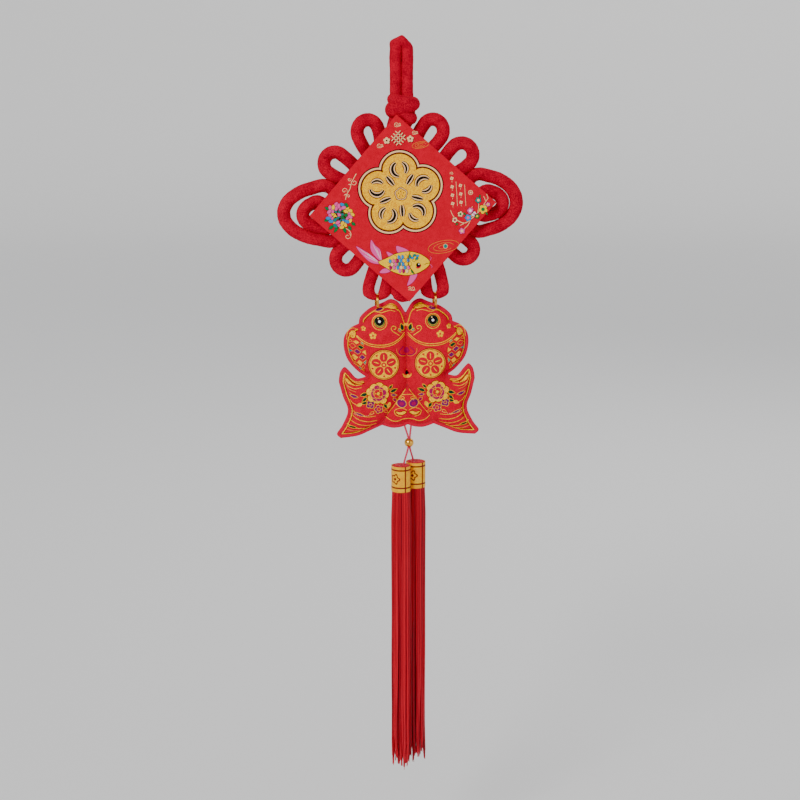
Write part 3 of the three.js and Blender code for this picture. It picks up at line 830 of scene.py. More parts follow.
for u, w, length, degrees in (
    (74.6, -8, 3.4, 300), (56.2, -9.4, 3, 120), (49, -16.4, 3, 210), (70, 5.4, 3, 80),
):
    front.edged("green", leaf_of(u, w, length, 1.7, degrees), "leaf", 0.22, 3)

# The carp: tail, fins, body, scales, gill, cheek, mouth, eye and whiskers
CARP = [
    (-26, -46.4), (-19, -43.6), (-12, -40.6), (-4, -38.8), (4, -38.8), (12, -41.4), (18, -45.4),
    (21, -49.4), (19.6, -53.4), (13, -57.6), (5, -60.2), (-4, -60), (-13, -56.4), (-20, -51.6),
]
for root, tips in (
    ((-24, -48), [(-30, -41), (-38.5, -34.4), (-45, -30.4), (-41, -37.5), (-33, -46)]),
    ((-23, -46.4), [(-31.6, -36), (-31, -25.6), (-27.4, -31), (-23.5, -35), (-22.6, -41)]),
):
    fan = spline([root, *tips], 5, True)
    front.edged("pink", fan, "rose", 0.3, 1)
    for tip in tips[1:4]:
        front.line("white", [Vector(root).lerp(Vector(tip), t / 6) for t in range(1, 6)], 0.3, 3, taper=0.8)
for outline in (
    [(-7, -39.6), (-8.6, -33), (-3.6, -34.4), (0.4, -36.4), (2.4, -39)],
    [(-15.5, -42.6), (-17.8, -37.4), (-14, -39), (-11.4, -41)],
    [(3.4, -59.4), (0.6, -65), (-1, -70), (4.2, -67.4), (8, -62.6), (8.6, -59.6)],
    [(-17.6, -52.6), (-22.4, -53), (-25.4, -56.2), (-19.6, -57), (-14.4, -55)],
):
    front.edged("pink", spline(outline, 5, True), "rose", 0.3, 1)
front.edged("yellow", spline(CARP, 6, True), "brown", 0.45, 3)
draw = random.Random(3)
for row in range(5):
    for column in range(8):
        u = -20.5 + column * 3.3 + (row % 2) * 1.65
        w = -43.4 - row * 3.2 - (u + 4) * 0.02 * row
        back = -38.9 - abs(u + 1) ** 1.7 * 0.045
        belly = -59.8 + abs(u + 1) ** 1.7 * 0.06
        if belly + 1.6 < w < back - 1.4 and u < 2.6:
            scale = arc_of(u, w, 1.95, -100, 100, 9)
            ink = draw.choice(["yellow", "yellow", "teal", "pink", "blue", "rose", "cream"])
            front.fill(ink, [Vector((u - 0.9, w)), *scale], 5)
            front.line("brown", scale, 0.3, 6)
front.line("brown", spline([(3.6, -39.2), (1.6, -45), (2, -52), (6.4, -59.4)], 6), 0.5, 7)
for u, w, ink in (
    (7.4, -42.6, "teal"), (10.2, -43.4, "blue"), (5.4, -44.8, "blue"), (9.4, -45.8, "teal"),
    (6.8, -47.2, "yellow"),
):
    front.edged(ink, ring_of(u, w, 1.5, 1.1, 0.4, 12), "leaf", 0.25, 7)
front.fill("green", leaf_of(3.4, -55.6, 5, 2, 300), 7)
front.fill("red", ring_of(10.6, -53, 2.6, 1.6, 0.6, 16), 7)
front.fill("black", ring_of(10.4, -51.6, 2.0, count=16), 8)
front.fill("white", ring_of(10.9, -51.0, 0.6, count=10), 9)
for ink, layer, feature in (
    ("brown", 7, [(20.8, -50.6), (17.6, -51), (16, -52)]),
    ("pink", 4, [(20.6, -49), (22.4, -46.6), (22, -44.8)]),
    ("pink", 4, [(20.6, -51.6), (22.6, -53.4), (22.4, -55.4)]),
):
    front.line(ink, spline(feature, 4), 0.35, layer)
front.lay(on_board, inked, "board_cloth")

# The rings
# Two gilt split rings of two turns each, one pinched through each of the lowest ears. Each also
# passes through the rim of the fish, above the eye.
RING_RADIUS = 6.95
WIRE_RADIUS = 0.62
RING_TURN = math.radians(7)
RING_TURNS = 2.06
RING_STEPS = 74
RING_PLACES = {"left": (-22.7, -241), "right": (30.8, -240)}

gilt_metal, start = new_finish("gilt_metal", {"Metallic": 1.0, "Coat Weight": 0.2, "Coat Roughness": 0.1})
tarnish = noise(start, 260.0, 4.0)
tarnish.over(0.35, 0.7).blend(tone(250, 190, 70), tone(204, 134, 40)).to("Base Color")
(tarnish.over(0.3, 0.75) * 0.16 + 0.13).to("Roughness")
for side, (x, z) in RING_PLACES.items():
    run = []
    for step in range(RING_STEPS + 1):
        share = step / RING_STEPS
        across = WIRE_RADIUS * 2.1 * min(1, max(0, share * 2.2 - 0.6)) - WIRE_RADIUS
        along = polar(0, 0, RING_RADIUS, math.pi / 2 + share * math.tau * RING_TURNS)
        run.append((Matrix.Rotation(RING_TURN, 3, "Z") @ Vector((across, *along)) + Vector((x, 0, z)), 1))
    coil = tubes(f"ring_{side}_coil", [run], WIRE_RADIUS, sides=12, smooth=False)
    dress(coil, gilt_metal, "gilt_metal", f"ring_{side}")

# The stuffed fish
# Two layers of short scarlet plush in the outline of a pair of carp, nose to nose. They are sewn
# round the rim, between the fish and along the tail piece, and filled with polyester wadding.
FISH_X = 4.9
FISH_Z = -303.9
FISH_LEAN = math.radians(1.2)
RIM_THICK = 3
RIM_WIDTH = 3.7
NET = 1.9
NET_ROW = NET * 0.866
NET_HALF = (37, 42)
RIM_ROW = 0.8
RIM_CLEAR = 1.5
PUFF = 0.74
PUFF_ROUNDS = 260
PINCH = 1.0
SEAM_DEPTH = 1.6
AIR = 3.0
AIR_FRAMES = 20
AIR_CAP = 0.0022
OUTLINE = {
    "head": [(0, 52.7), (6, 62), (13.5, 65.6), (21.5, 62.4), (33, 57.8), (42, 50), (43.8, 43.4)],
    "side fin": [(43.8, 43.4), (51.2, 39.8), (57.3, 32), (58.2, 21), (54.6, 9), (46.4, -1), (38.8, -6.8)],
    "tail top": [(38.8, -6.8), (46.6, -8), (52.9, -1.2), (57.9, 3), (62.3, -2.2), (63.8, -11)],
    "tail": [(63.8, -11), (60.3, -25), (56, -38.5), (61.2, -52), (66.9, -60.6), (63.2, -65.2)],
    "tail foot": [(63.2, -65.2), (47.4, -63.5), (35, -58.6), (24.2, -53.9)],
    "lower edge": [(24.2, -53.9), (15, -56.8), (6.5, -56.3), (0, -54)],
}
SEAMS = [
    ((0, 52.7), (0, -15.8)),
    ((0, -15.8), (-20.5, -44)), ((-20.5, -44), (-24.2, -53.9)),
    ((0, -15.8), (20.5, -44)), ((20.5, -44), (24.2, -53.9)),
]
PLUSH_DEEP = tone(186, 0, 30)
PLUSH_BRIGHT = tone(226, 0, 48)
# The rim's colour: the paler cut edge of the plush, with a painted sheen highlight added.
PLUSH_RIM_SHEEN = tone(212, 0, 58)


def in_fish(u, w, y=0.0):
    x, z = turned(u, w, FISH_LEAN)
    return Vector((FISH_X + x, y, FISH_Z + z)) * MM


half = [point for part in OUTLINE.values() for point in spline(part, 8)[:-1]] + [Vector((0, -54))]
outline = half + [Vector((-point.x, point.y)) for point in half[-2:0:-1]]
edges = list(zip(outline, outline[1:] + outline[:1]))
seams = [(Vector(top), Vector(foot)) for top, foot in SEAMS]


def nearest(point, lines):
    """The nearest place on the lines, and how far it is."""
    feet = []
    for begin, end in lines:
        share = geometry.intersect_point_line(point, begin, end)[1]
        foot = begin.lerp(end, min(1, max(0, share)))
        feet.append(((foot - point).length, foot))
    distance, foot = min(feet, key=lambda pair: pair[0])
    return foot, distance


def within(point, loop):
    """Whether the point is inside the closed line."""
    inside = False
    for a, b in zip(loop, loop[1:] + loop[:1]):
        if (a.y > point.y) != (b.y > point.y):
            if point.x < a.x + (point.y - a.y) * (b.x - a.x) / (b.y - a.y):
                inside = not inside
    return inside


def fish_net():
    """Flat points over the fish: kind is edge, rim, stitched, seam or filled."""
    points = [(point, "edge") for point in outline]
    for a, b in edges:
        inward = Vector((b.y - a.y, a.x - b.x)).normalized()
        middle = (a + b) / 2
        inward = inward if within(middle + inward * 0.2, outline) else -inward
        points.append((middle + inward * RIM_ROW, "rim"))
    columns, rows = (range(-reach, reach + 1) for reach in NET_HALF)
    for row in rows:
        for column in columns:
            point = Vector(((column + (row % 2) / 2) * NET, row * NET_ROW))
            if not within(point, outline):
                continue
            foot, depth = nearest(point, edges)
            if depth < RIM_CLEAR:
                continue
            kind = "rim" if depth < RIM_WIDTH else "filled"
            if abs(depth - RIM_WIDTH) < NET * 0.55:
                point = foot + (point - foot).normalized() * RIM_WIDTH
                kind = "stitched"
            elif depth > RIM_WIDTH:
                seam_foot, away = nearest(point, seams)
                if away < NET * 0.5:
                    point, kind = seam_foot, "seam"
            points.append((point, kind))
    return points


def mark(piece, name, values):
    """A value for each point, which the finish reads by that name."""
    piece.data.attributes.new(name, "FLOAT", "POINT").data.foreach_set("value", values)


def sewn_fish():
    """Both layers of the fish as one closed net, the filling lifting each where nothing is sewn."""
    points = fish_net()
    loop = list(range(len(outline)))
    flat = geometry.delaunay_2d_cdt([point for point, kind in points], [], [loop], 1, 1e-3)
    places, faces, sources = flat[0], flat[2], flat[3]
    kinds = [points[min(source)][1] if source else "rim" for source in sources]
    around = [set() for _ in places]
    for corners in faces:
        for a, b in zip(corners, corners[1:] + corners[:1]):
            around[a].add(b)
            around[b].add(a)
    lift = [0.0] * len(places)
    filled = [i for i, kind in enumerate(kinds) if kind == "filled"]
    for _ in range(PUFF_ROUNDS):
        for i in filled:
            lift[i] = sum(lift[j] for j in around[i]) / len(around[i]) + NET**2 / 4
    heights = {"rim": RIM_THICK / 2, "stitched": PINCH, "seam": SEAM_DEPTH, "filled": PINCH, "edge": 0}
    mesh = bmesh.new()
    layers = []
    for side in (-1, 1):
        layer = []
        for i, place in enumerate(places):
            if kinds[i] == "edge" and side == 1:
                layer.append(layers[0][i])
                continue
            height = heights[kinds[i]] + PUFF * math.sqrt(lift[i])
            layer.append(mesh.verts.new(in_fish(place.x, place.y, side * height)))
        layers.append(layer)
        for corners in faces:
            mesh.faces.new([layer[corner] for corner in corners[::-side]])
    bmesh.ops.recalc_face_normals(mesh, faces=mesh.faces)
    made = bpy.data.meshes.new("fish_pair_plush")
    mesh.to_mesh(made)
    mesh.free()
    piece = placed("fish_pair_plush", made)
    kinds += [kind for kind in kinds if kind != "edge"]
    held = piece.vertex_groups.new(name="sewn")
    held.add([i for i, kind in enumerate(kinds) if kind != "filled"], 1.0, "REPLACE")
    # The rim mark tells the finish where to paint the paler cut edge and its painted sheen highlight.
    mark(piece, "rim", [float(kind in ("edge", "rim")) for kind in kinds])
    return piece


def blow_up(piece):
    """The wadding pushes the plush out between its seams, each point by no more than the cap."""
    before = [vertex.co.copy() for vertex in piece.data.vertices]
    cloth = piece.modifiers.new("cloth", "CLOTH")
    cloth.settings.quality = 6
    cloth.settings.mass = 0.2
    cloth.settings.use_pressure = True
    cloth.settings.uniform_pressure_force = AIR
    cloth.settings.vertex_group_mass = "sewn"
    cloth.settings.effector_weights.gravity = 0
    for number in range(AIR_FRAMES):
        bpy.context.scene.frame_set(number + 1)
    settle(piece, cloth)
    bpy.context.scene.frame_set(1)
    for vertex, was in zip(piece.data.vertices, before):
        move = vertex.co - was
        if move.length > AIR_CAP:
            vertex.co = was + move.normalized() * AIR_CAP


plush = pile_cloth(
    "plush", PLUSH_DEEP, PLUSH_BRIGHT, grain=0.0007, patch=0.005, depth=0.00045,
    fixed={"Sheen Weight": 0.3, "Sheen Roughness": 0.4, "Sheen Tint": tone(255, 60, 100)}, rim=PLUSH_RIM_SHEEN,
)
fish = sewn_fish()
blow_up(fish)
finer = fish.modifiers.new("finer", "SUBSURF")
finer.levels = finer.render_levels = 1
settle(fish, finer)
bpy.ops.object.shade_smooth()
fish.vertex_groups.clear()
dress(fish, plush, "fish_plush", "fish_pair")
skin = BVHTree.FromObject(fish, bpy.context.evaluated_depsgraph_get())


def on_fish(u, w, lift=0.0, side=-1):
    """A place on the plush, u to the right and w up from the middle of the pair, in mm."""
    flat = in_fish(u, w)
    aim = Vector((0, -side, 0))
    hit, normal = skin.ray_cast(flat - aim * 100 * MM, aim)[:2]
    if hit is None:
        hit, normal = skin.find_nearest(flat - aim * 2 * MM)[:2]
    return hit + normal * lift * MM


def inset_line(parts, by, trim=(0, 0), hand=1):
    """A line that keeps by mm inside the outline along those parts of it."""
    points = [point for part in parts for point in spline(OUTLINE[part], 8)[:-1]]
    points = points[trim[0]: len(points) - trim[1]]
    made = []
    for i, point in enumerate(points):
        run = points[min(i + 1, len(points) - 1)] - points[max(i - 1, 0)]
        moved = point + Vector((run.y, -run.x)).normalized() * by
        made.append(moved if nearest(moved, edges)[1] > by * 0.96 else None)
    return [Vector((hand * point.x, point.y)) for point in made if point is not None]


# The stitching of the fish
# A row of red machine stitches holds the two layers together just inside the rim, and others run
# down between the fish and along both sides of the tail piece.
STITCH = {"length": 1.9, "pitch": 2.7, "radius": 0.28, "longest": 21.6}

stitches = []
for row in (*(inset_line(OUTLINE, RIM_WIDTH, (2, 2), hand) for hand in (-1, 1)), *seams):
    walked = 0.0
    for a, b in zip(row, row[1:]):
        length = (b - a).length
        skips = len(row) > 2 and length >= STITCH["longest"]
        while walked < length and not skips:
            middle = a.lerp(b, walked / length)
            run = (b - a).normalized() * STITCH["length"] / 2
            for side in (-1, 1):
                stitches.append([
                    (on_fish(*(middle + run * t), lift, side) / MM, share)
                    for t, lift, share in ((-1, -0.1, 0.6), (0, 0.2, 1), (1, -0.1, 0.6))
                ])
            walked += STITCH["pitch"]
        walked -= length
sewing_thread, start = new_finish("sewing_thread", {"Roughness": 0.5, "Sheen Weight": 0.2})
place = start.node("TexCoord", {}, {}, "Object")
twist = {"Vector": place, "Scale": 900.0, "Distortion": 1.0}
ply = start.node("TexWave", {"bands_direction": "DIAGONAL"}, twist, "Fac")
ply.blend(tone(120, 2, 14), tone(190, 10, 34)).to("Base Color")
sewing = tubes("fish_stitches", stitches, STITCH["radius"], sides=6, smooth=False)
dress(sewing, sewing_thread, "thread")

# The print of the fish
# Each carp has a round eye, gill lines, a scaled side fin, a gilt roundel with a red blossom, a peony
# among leaves and a striped tail, drawn in gilt. The tail piece has a scroll between the two.
CONTOUR = 4.4
CONTOURS = [
    (["head"], (6, 2)), (["side fin"], (3, 3)), (["tail top", "tail", "tail foot"], (3, 6)),
]
FIN_LINES = [
    [(40.6, 27.5), (38.2, 20), (37.6, 11), (39.4, 1.5)], [(52.4, 30), (53.6, 22), (50.6, 10), (43, 0)],
]
EYE = (24.6, 45.1)
ROUNDEL = (21.6, 5.8)
ROUNDEL_RINGS = [("brown", 14.6), ("old gilt", 14.1), ("brown", 13.3), ("gilt", 12.9)]
PEONY = (27.4, -21.4)
# Ink, width, layer, steps from point to point, and the points
FISH_LINES = [
    ("gilt", 0.6, 2, 6, [(7, 55), (12, 59.0), (16.5, 59.2), (22.4, 55.6)]),
    ("gilt", 0.45, 2, 6, [(10, 54.4), (14, 55.6), (19, 54.6)]),
    ("gilt", 0.5, 2, 6, [(18, 55), (23, 53.6), (29, 54.4), (35, 50.6)]),
    ("gilt", 0.65, 2, 8,
     [(1.6, 34.4), (8, 28.6), (16, 25.2), (25, 24.4), (34, 25.8), (41, 29.4), (46, 33.4)]),
    ("gilt", 0.55, 2, 8,
     [(1.6, 32.4), (8, 26.8), (16, 23.4), (25, 22.6), (34, 24), (41, 27.6), (46, 32.32)]),
    ("gilt", 0.6, 2, 6, [(1, 41.4), (2.5, 45.4), (4.4, 51.6), (7.2, 56)]),
    ("gilt", 0.55, 2, 6,
     [(6.6, 32.2), (9.4, 34.4), (12.8, 36.8), (14, 39.6), (12.2, 41.4), (9.8, 40.4), (10.2, 38.4),
      (11.6, 38.6)]),
    ("old gilt", 0.5, 2, 6, [(3.6, 34.4), (6.4, 35.4), (8.6, 37.8)]),
    ("gilt", 0.45, 2, 6, [(44.6, 37.6), (49.4, 39.6), (54, 36), (55.2, 29)]),
    ("gilt", 0.55, 2, 6, [(1.6, -19.4), (8, -28.6), (14, -36.6), (19.4, -43.2)]),
    ("gilt", 0.5, 2, 7, [(0, -24.2), (5.6, -25), (9.6, -29.4), (10.4, -34)]),
    ("gilt", 0.45, 2, 6, [(0.8, -38.8), (5, -36.8), (9.4, -37.4), (12.4, -39.6), (11, -43.4), (6, -45)]),
    ("gilt", 0.6, 2, 7, [(0, -46.8), (4.6, -47.4), (10, -49.4), (15.4, -48.6), (20.6, -45)]),
    ("purple", 0.45, 1, 6, [(3, 21.6), (6.8, 17.8), (5.8, 14.4), (1.4, 13.4)]),
    ("old gilt", 0.45, 1, 6, [(1, 12.4), (5, 13), (8.8, 16.4), (9.4, 20.4)]),
]
# Ink, width and points
TAIL_LINES = [
    ("gilt", 0.7, [(58, -3.6), (56.6, -10), (50, -14), (42, -13.4)]),
    ("gilt", 0.5, [(58.6, -7.6), (56, -13.6), (49.4, -17), (42.6, -16)]),
    ("old gilt", 0.5, [(56.8, -12), (54, -17.4), (47.6, -20)]),
    ("gilt", 0.6, [(40.6, -10.8), (47.6, -11.4), (53, -8), (57, -3)]),
    ("old gilt", 0.45, [(54, -20), (49, -24), (45, -24.6)]),
    ("gilt", 0.45, [(54, -27), (50.6, -30.6), (46, -32.6)]),
    ("gilt", 0.5, [(52.4, -36), (47, -41), (38, -43.6), (30, -43)]),
    ("gilt", 0.6, [(53, -41), (46.6, -46), (38, -48.4), (29, -47.6)]),
    ("gilt", 0.5, [(54.6, -46), (47.6, -50.4), (38, -52.4), (29.6, -50.8)]),
    ("gilt", 0.7, [(57, -50.6), (49, -54.6), (39.6, -55.6)]),
    ("old gilt", 0.5, [(59.6, -55), (51, -57.6), (43, -57.4)]),
]
# Ink, ink of the edge, its width, layer, steps and points
PATCHES = [
    ("gilt", "brown", 0.3, 2, 5,
     [(7.6, 56.8), (11, 60), (15.4, 60.4), (20, 57.6), (16, 57.4), (12.4, 56.6)]),
    ("purple", "gilt", 0.4, 2, 5, [(20.4, 57), (24, 58), (28.4, 55.4), (24.6, 54.8)]),
    ("gilt", "brown", 0.3, 2, 5, [(46.6, 36), (50.4, 37.4), (53, 33.4), (50.6, 31), (47.6, 31.2)]),
    ("gilt", "brown", 0.25, 3, 5, [(57.6, -8), (54.6, -12.6), (48, -14.6), (52, -11.6), (55.6, -7.6)]),
    ("leaf", "gilt", 0.35, 3, 5, [(57, -52.4), (52, -54.6), (47.6, -54.4), (52, -52.4)]),
    ("purple", "gilt", 0.35, 3, 5, [(49.4, -39.4), (45, -42.4), (40.6, -42.4), (45.6, -39.8)]),
    ("purple", "gilt", 0.35, 3, 5, [(53.6, -22.6), (50, -25.6), (46, -24.8), (50, -22.4)]),
    ("gilt", "brown", 0.35, 3, 6,
     [(1.2, -40.6), (5, -43.2), (9, -42.8), (11.6, -39.8), (7.4, -40.6), (4, -39.4)]),
]
# Foot, length, width, direction, ink, width of the gilt edge and layer
LEAVES = [
    (3.0, 36.4, 7.4, 3.8, 74, "leaf", 0.45, 2), (5.0, 36.0, 4, 1.8, 50, "teal", 0.3, 3),
    (16.4, -20.4, 7.6, 3.4, 160, "leaf", 0.36, 2), (15.6, -23.2, 6, 2.6, -170, "purple", 0.36, 2),
    (17.4, -17.4, 5.4, 2.6, 132, "leaf", 0.36, 2), (37, -21.4, 7.6, 3.4, 345, "leaf", 0.36, 2),
    (38, -24.8, 6.6, 3.0, 315, "leaf", 0.36, 2), (37.6, -29.6, 6, 3.0, 350, "leaf", 0.36, 2),
    (22.4, -31.6, 6.6, 3.2, 235, "leaf", 0.36, 2), (13.4, -26.4, 6, 3, -120, "rose", 0.36, 2),
    (16.6, -30.4, 6.6, 3.2, -70, "gilt", 0.36, 2), (42.4, -31, 5.8, 3.0, 340, "gilt", 0.36, 2),
    (32, -38.6, 5, 2.6, 320, "red", 0.36, 2), (22.6, -37.8, 5, 2.6, 215, "red", 0.36, 2),
]

both = Print("fish_print", 2.4)
for hand in (-1, 1):
    def at(u, w):
        return Vector((hand * u, w))

    for parts, trim in CONTOURS:
        both.line("gilt", inset_line(parts, CONTOUR, trim, hand), 0.75, 1)
        both.line("brown", inset_line(parts, CONTOUR + 0.7, trim, hand), 0.35, 1)
    for ink, width, layer, steps, points in FISH_LINES:
        both.line(ink, spline([at(*point) for point in points], steps), width, layer)
    for ink, width, points in TAIL_LINES:
        both.line(ink, spline([at(*point) for point in points], 7), width, 2, taper=0.35)
    for ink, edge, width, layer, steps, points in PATCHES:
        both.edged(ink, spline([at(*point) for point in points], steps, True), edge, width, layer)
    for *leaf, ink, width, layer in LEAVES:
        both.edged(ink, [at(*point) for point in leaf_of(*leaf)], "gilt", width, layer)

    # The eye, and the blossoms on the cheek
    eye = at(*EYE)
    both.line("gilt", ring_of(*eye, 6.7, count=40), 0.55, 1, closed=True)
    both.edged("leaf", ring_of(eye.x, eye.y + 0.4, 5.2, count=36), "gilt", 0.3, 2)
    both.fill("green", ring_of(eye.x, eye.y - 0.9, 4.3, 3.5, count=30), 4)
    both.line("old gilt", arc_of(eye.x, eye.y + 0.6, 4.1, 190, 350, 20), 0.4, 6, taper=0.6)
    both.fill("black", ring_of(eye.x, eye.y + 0.9, 3.7, count=30), 7)
    both.fill("white", ring_of(eye.x, eye.y + 0.8, 1.15, count=16), 8)
    both.fill("cream", ring_of(eye.x - 1.0, eye.y + 3.5, 0.6, count=12), 8)
    both.fill("gilt", ring_of(*at(1.2, 41.6), 1.4, count=14), 2)
    for u, w, radius in ((31, 33.2, 3.4), (39.4, 39.4, 2.2)):
        both.fill("gilt", lobed(*at(u, w), radius, 5, 0.45, 1.57), 2)
        both.fill("red", ring_of(*at(u, w), radius * 0.28, count=10), 3)

    # The scales of the side fin
    inner_line, outer_line = (spline(points, 8) for points in FIN_LINES)
    draw = random.Random(12)
    for row in range(6):
        for column in range(3 - row % 2):
            corners = []
            for across, down in ((0, -0.074), (0.215, 0), (0, 0.074), (-0.215, 0)):
                across = min(1, max(0, (column + row % 2 / 2) / 2 + across))
                step = round((0.085 + row * 0.166 + down) * 24)
                corners.append(at(*inner_line[step].lerp(outer_line[step], across)))
            ink = draw.choice(["purple", "purple", "gilt", "teal", "leaf", "red", "red"])
            both.edged(ink, corners, "gilt", 0.36, 3)

    # The roundel and its blossom
    for layer, (ink, radius) in enumerate(ROUNDEL_RINGS, 1):
        both.fill(ink, ring_of(*at(*ROUNDEL), radius, count=56), layer)
    for aim in PETALS:
        both.fill("red", ring_of(*at(*polar(*ROUNDEL, 7.2, aim)), 4.4, 3.7, hand * aim, 22), 5)
        vein = [at(*polar(*ROUNDEL, reach, aim)) for reach in (4.8, 7.2, 9.6)]
        both.line("gilt", vein, 0.9, 6, taper=0.5)
        both.fill("red", ring_of(*at(*polar(*ROUNDEL, 10.9, aim + math.pi / 5)), 0.95, count=12), 5)
    both.fill("red", ring_of(*at(*ROUNDEL), 2.3, count=18), 7)
    both.fill("gilt", ring_of(*at(*ROUNDEL), 1.1, count=12), 8)

    # Two blossoms, the peony, the beading of the tail and the scroll of the tail piece
    for u, w, radius, petals, ink, heart in (
        (34.8, -31.6, 4.1, 4, "purple", "rose"), (27.2, -36.4, 4.3, 5, "rose", "red"),
    ):
        both.edged(ink, lobed(*at(u, w), radius, petals, 0.34, 0.6), "gilt", 0.42, 4)
        both.edged(heart, ring_of(*at(u, w), radius * 0.36, count=14), "gilt", 0.3, 6)
    for count, reach, size, turn, ink, edge, layer in (
        (8, 7.4, 3.9, 0.2, "gilt", "brown", 3), (8, 5.0, 3.1, 0.6, "rose", "gilt", 7),
        (6, 2.6, 2.4, 0.1, "red", "gilt", 11),
    ):
        for petal in range(count):
            aim = turn + petal * math.tau / count
            loose = 1 + 0.12 * math.sin(petal * 2.7 + reach)
            place = at(*polar(*PEONY, reach * loose, aim))
            blade = ring_of(*place, size * 0.8, size * (2 - loose), aim if hand > 0 else math.pi - aim, 18)
            both.edged(ink, blade, edge, 0.34, layer + petal % 2 * 2)
    both.edged("gilt", ring_of(*at(*PEONY), 1.7, count=14), "brown", 0.3, 15)
    for share in (step / 11 for step in range(12)):
        dot = at(50 - 18 * share, -41 + 0.6 * share - 2.2 * math.sin(share * 3.14))
        both.fill("cream", ring_of(*dot, 0.34, count=8), 2)
    both.edged("purple", ring_of(*at(5.6, -32.4), 4.4, 3.8, hand * 0.3, 24), "gilt", 0.45, 3)
    both.fill("rose", ring_of(*at(5.6, -32.8), 2.2, 1.7, 0, 16), 5)
    both.line("gilt", [at(*point) for point in curl_of(4.2, -27.8, 2.2, 300)], 0.45, 3)

# Between the two fish: a blossom and a round knob
both.fill("rose", lobed(0, 17.6, 2.8, 6, 0.3), 2)
both.fill("gilt", ring_of(0, -4.6, 4.1, count=30), 2)
both.fill("red", ring_of(0, -2.9, 4.0, 3.4, count=30), 3)
both.fill("black", ring_of(0, -3.6, 2.0, count=22), 4)
both.lay(on_fish, inked, "fish_plush")

# The string and the bead
# A thin two-ply string is sewn into the lower rim of the fish, passes doubled through a gilt bead,
# and parts to the two tassels, where each end is bound into a head.
STRING_RADIUS = 0.95
PLY_PITCH = 3.2
STRING_INWARD = 2.6
BEAD = {"x": 7.2, "z": -375.2, "radius": 4.4, "bore": 1.95}
TASSELS = {"left": (-0.5, -5.9, -394.8), "right": (13.9, 5.9, -394.0)}
HEM_X = FISH_X + 55 * math.sin(FISH_LEAN)
HEM_Z = FISH_Z - 55

plies = []
for side, (x, y, top) in TASSELS.items():
    hand = -1 if side == "left" else 1
    in_bead = BEAD["x"] + hand * STRING_RADIUS * 0.7
    route = spline([
        (HEM_X + hand * 3.3, 0, HEM_Z + 5), (HEM_X + hand * 3, 0, HEM_Z),
        (in_bead, 0, BEAD["z"] + BEAD["radius"]), (in_bead, 0, BEAD["z"] - BEAD["radius"]),
        (x - hand * STRING_INWARD, y, top + 1), (x - hand * STRING_INWARD, y, top - 4.6),
    ], 24)
    for ply_turn in (0, math.pi):
        run, walked = [], 0.0
        for i, point in enumerate(route):
            walked += (point - route[i - 1]).length if i else 0
            off = polar(0, 0, STRING_RADIUS * 0.4, ply_turn + walked / PLY_PITCH * math.tau)
            run.append((point + off.to_3d(), 1))
        plies.append(run)
silky, start = new_finish(
    "silky_thread", {"Roughness": 0.38, "Sheen Weight": 0.3, "Sheen Tint": tone(255, 120, 140)}
)
fibre = noise(start, 2400.0, 2.0)
fibre.over(0.3, 0.7).blend(tone(180, 0, 44), tone(236, 40, 92)).to("Base Color")
bump(fibre, 0.4, 0.0001)
string = tubes("string_twisted", plies, STRING_RADIUS * 0.68, sides=8, smooth=False)
dress(string, silky, "thread", "string")

bead = start_from(
    "bead_gilt", bpy.ops.mesh.primitive_uv_sphere_add,
    segments=48, ring_count=32, radius=BEAD["radius"] * MM,
)
bpy.ops.object.mode_set(mode="EDIT")
for end in (-1, 1):
    level_mm = end * math.sqrt(BEAD["radius"] ** 2 - BEAD["bore"] ** 2)
    bpy.ops.mesh.select_all(action="SELECT")
    bpy.ops.mesh.bisect(
        plane_co=(0, 0, level_mm * MM), plane_no=(0, 0, 1), clear_inner=end < 0, clear_outer=end > 0
    )
bpy.ops.mesh.select_all(action="DESELECT")
bpy.ops.mesh.select_mode(type="EDGE")
bpy.ops.mesh.select_non_manifold()
bpy.ops.mesh.bridge_edge_loops()
bpy.ops.mesh.select_all(action="SELECT")
bpy.ops.mesh.normals_make_consistent(inside=False)
bpy.ops.object.mode_set(mode="OBJECT")
bead.data.transform(Matrix.Translation((BEAD["x"] * MM, 0, BEAD["z"] * MM)))
bpy.ops.object.shade_smooth_by_angle(angle=math.radians(40))
dress(bead, gilt_metal, "gilt_metal", "bead")

# The tassels
# Each is a bundle of fine glossy crimson threads, folded over and bound at the head, and hanging
# straight. The threads draw together in soft strands, and their cut ends are a little uneven.
HEAD_LENGTH = 26
HEAD_FOLDS = 72
FOLD_RADIUS = 0.42
FOLD_LIFT = 0.35
TONE_RUN = 120
# A thread's fold over the head: distance out, height, share of the lift, and share of the radius
FOLD = [
    (1.4, -0.9, 0, 0.7), (4.4, -0.5, 0.5, 1), (7.2, -0.9, 0.6, 1), (8.1, -2.2, 0, 1),
    (8.2, -HEAD_LENGTH, 0, 1),
]
CORE_RADIUS = 7.9
CORE_TOP = 1.4
CORE_ROUND = 1.6
THREADS = 620
THREAD_RADIUS = 0.34
THREAD_STEPS = 18
SKIRT_RADIUS = 8.3
SKIRT_SPREAD = 1.12
SKIRT_FLARE = 0.13
POINTED = 9
SKIRT_LENGTH = 303
UNEVEN = 14
CLUMPS = 24
# How far threads draw together in strands, from one share of the length to another
PULLS = [(0.25, 0.03, 0.5), (0.2, 0.6, 0.93), (0.35, 0.93, 1)]

rayon, start = new_finish("rayon_thread", {"Roughness": 0.45, "Specular IOR Level": 0.3})
strand_tone = start.node("Attribute", {"attribute_name": "strand"}, {}, "Fac")
fibre = noise(start, 1800.0, 2.0)
shade = (strand_tone * 0.8 + fibre * 0.35).over(0.15, 0.95)
shade.blend(tone(104, 0, 14), tone(232, 0, 42)).to("Base Color")
bump(fibre, 0.3, 0.0001)


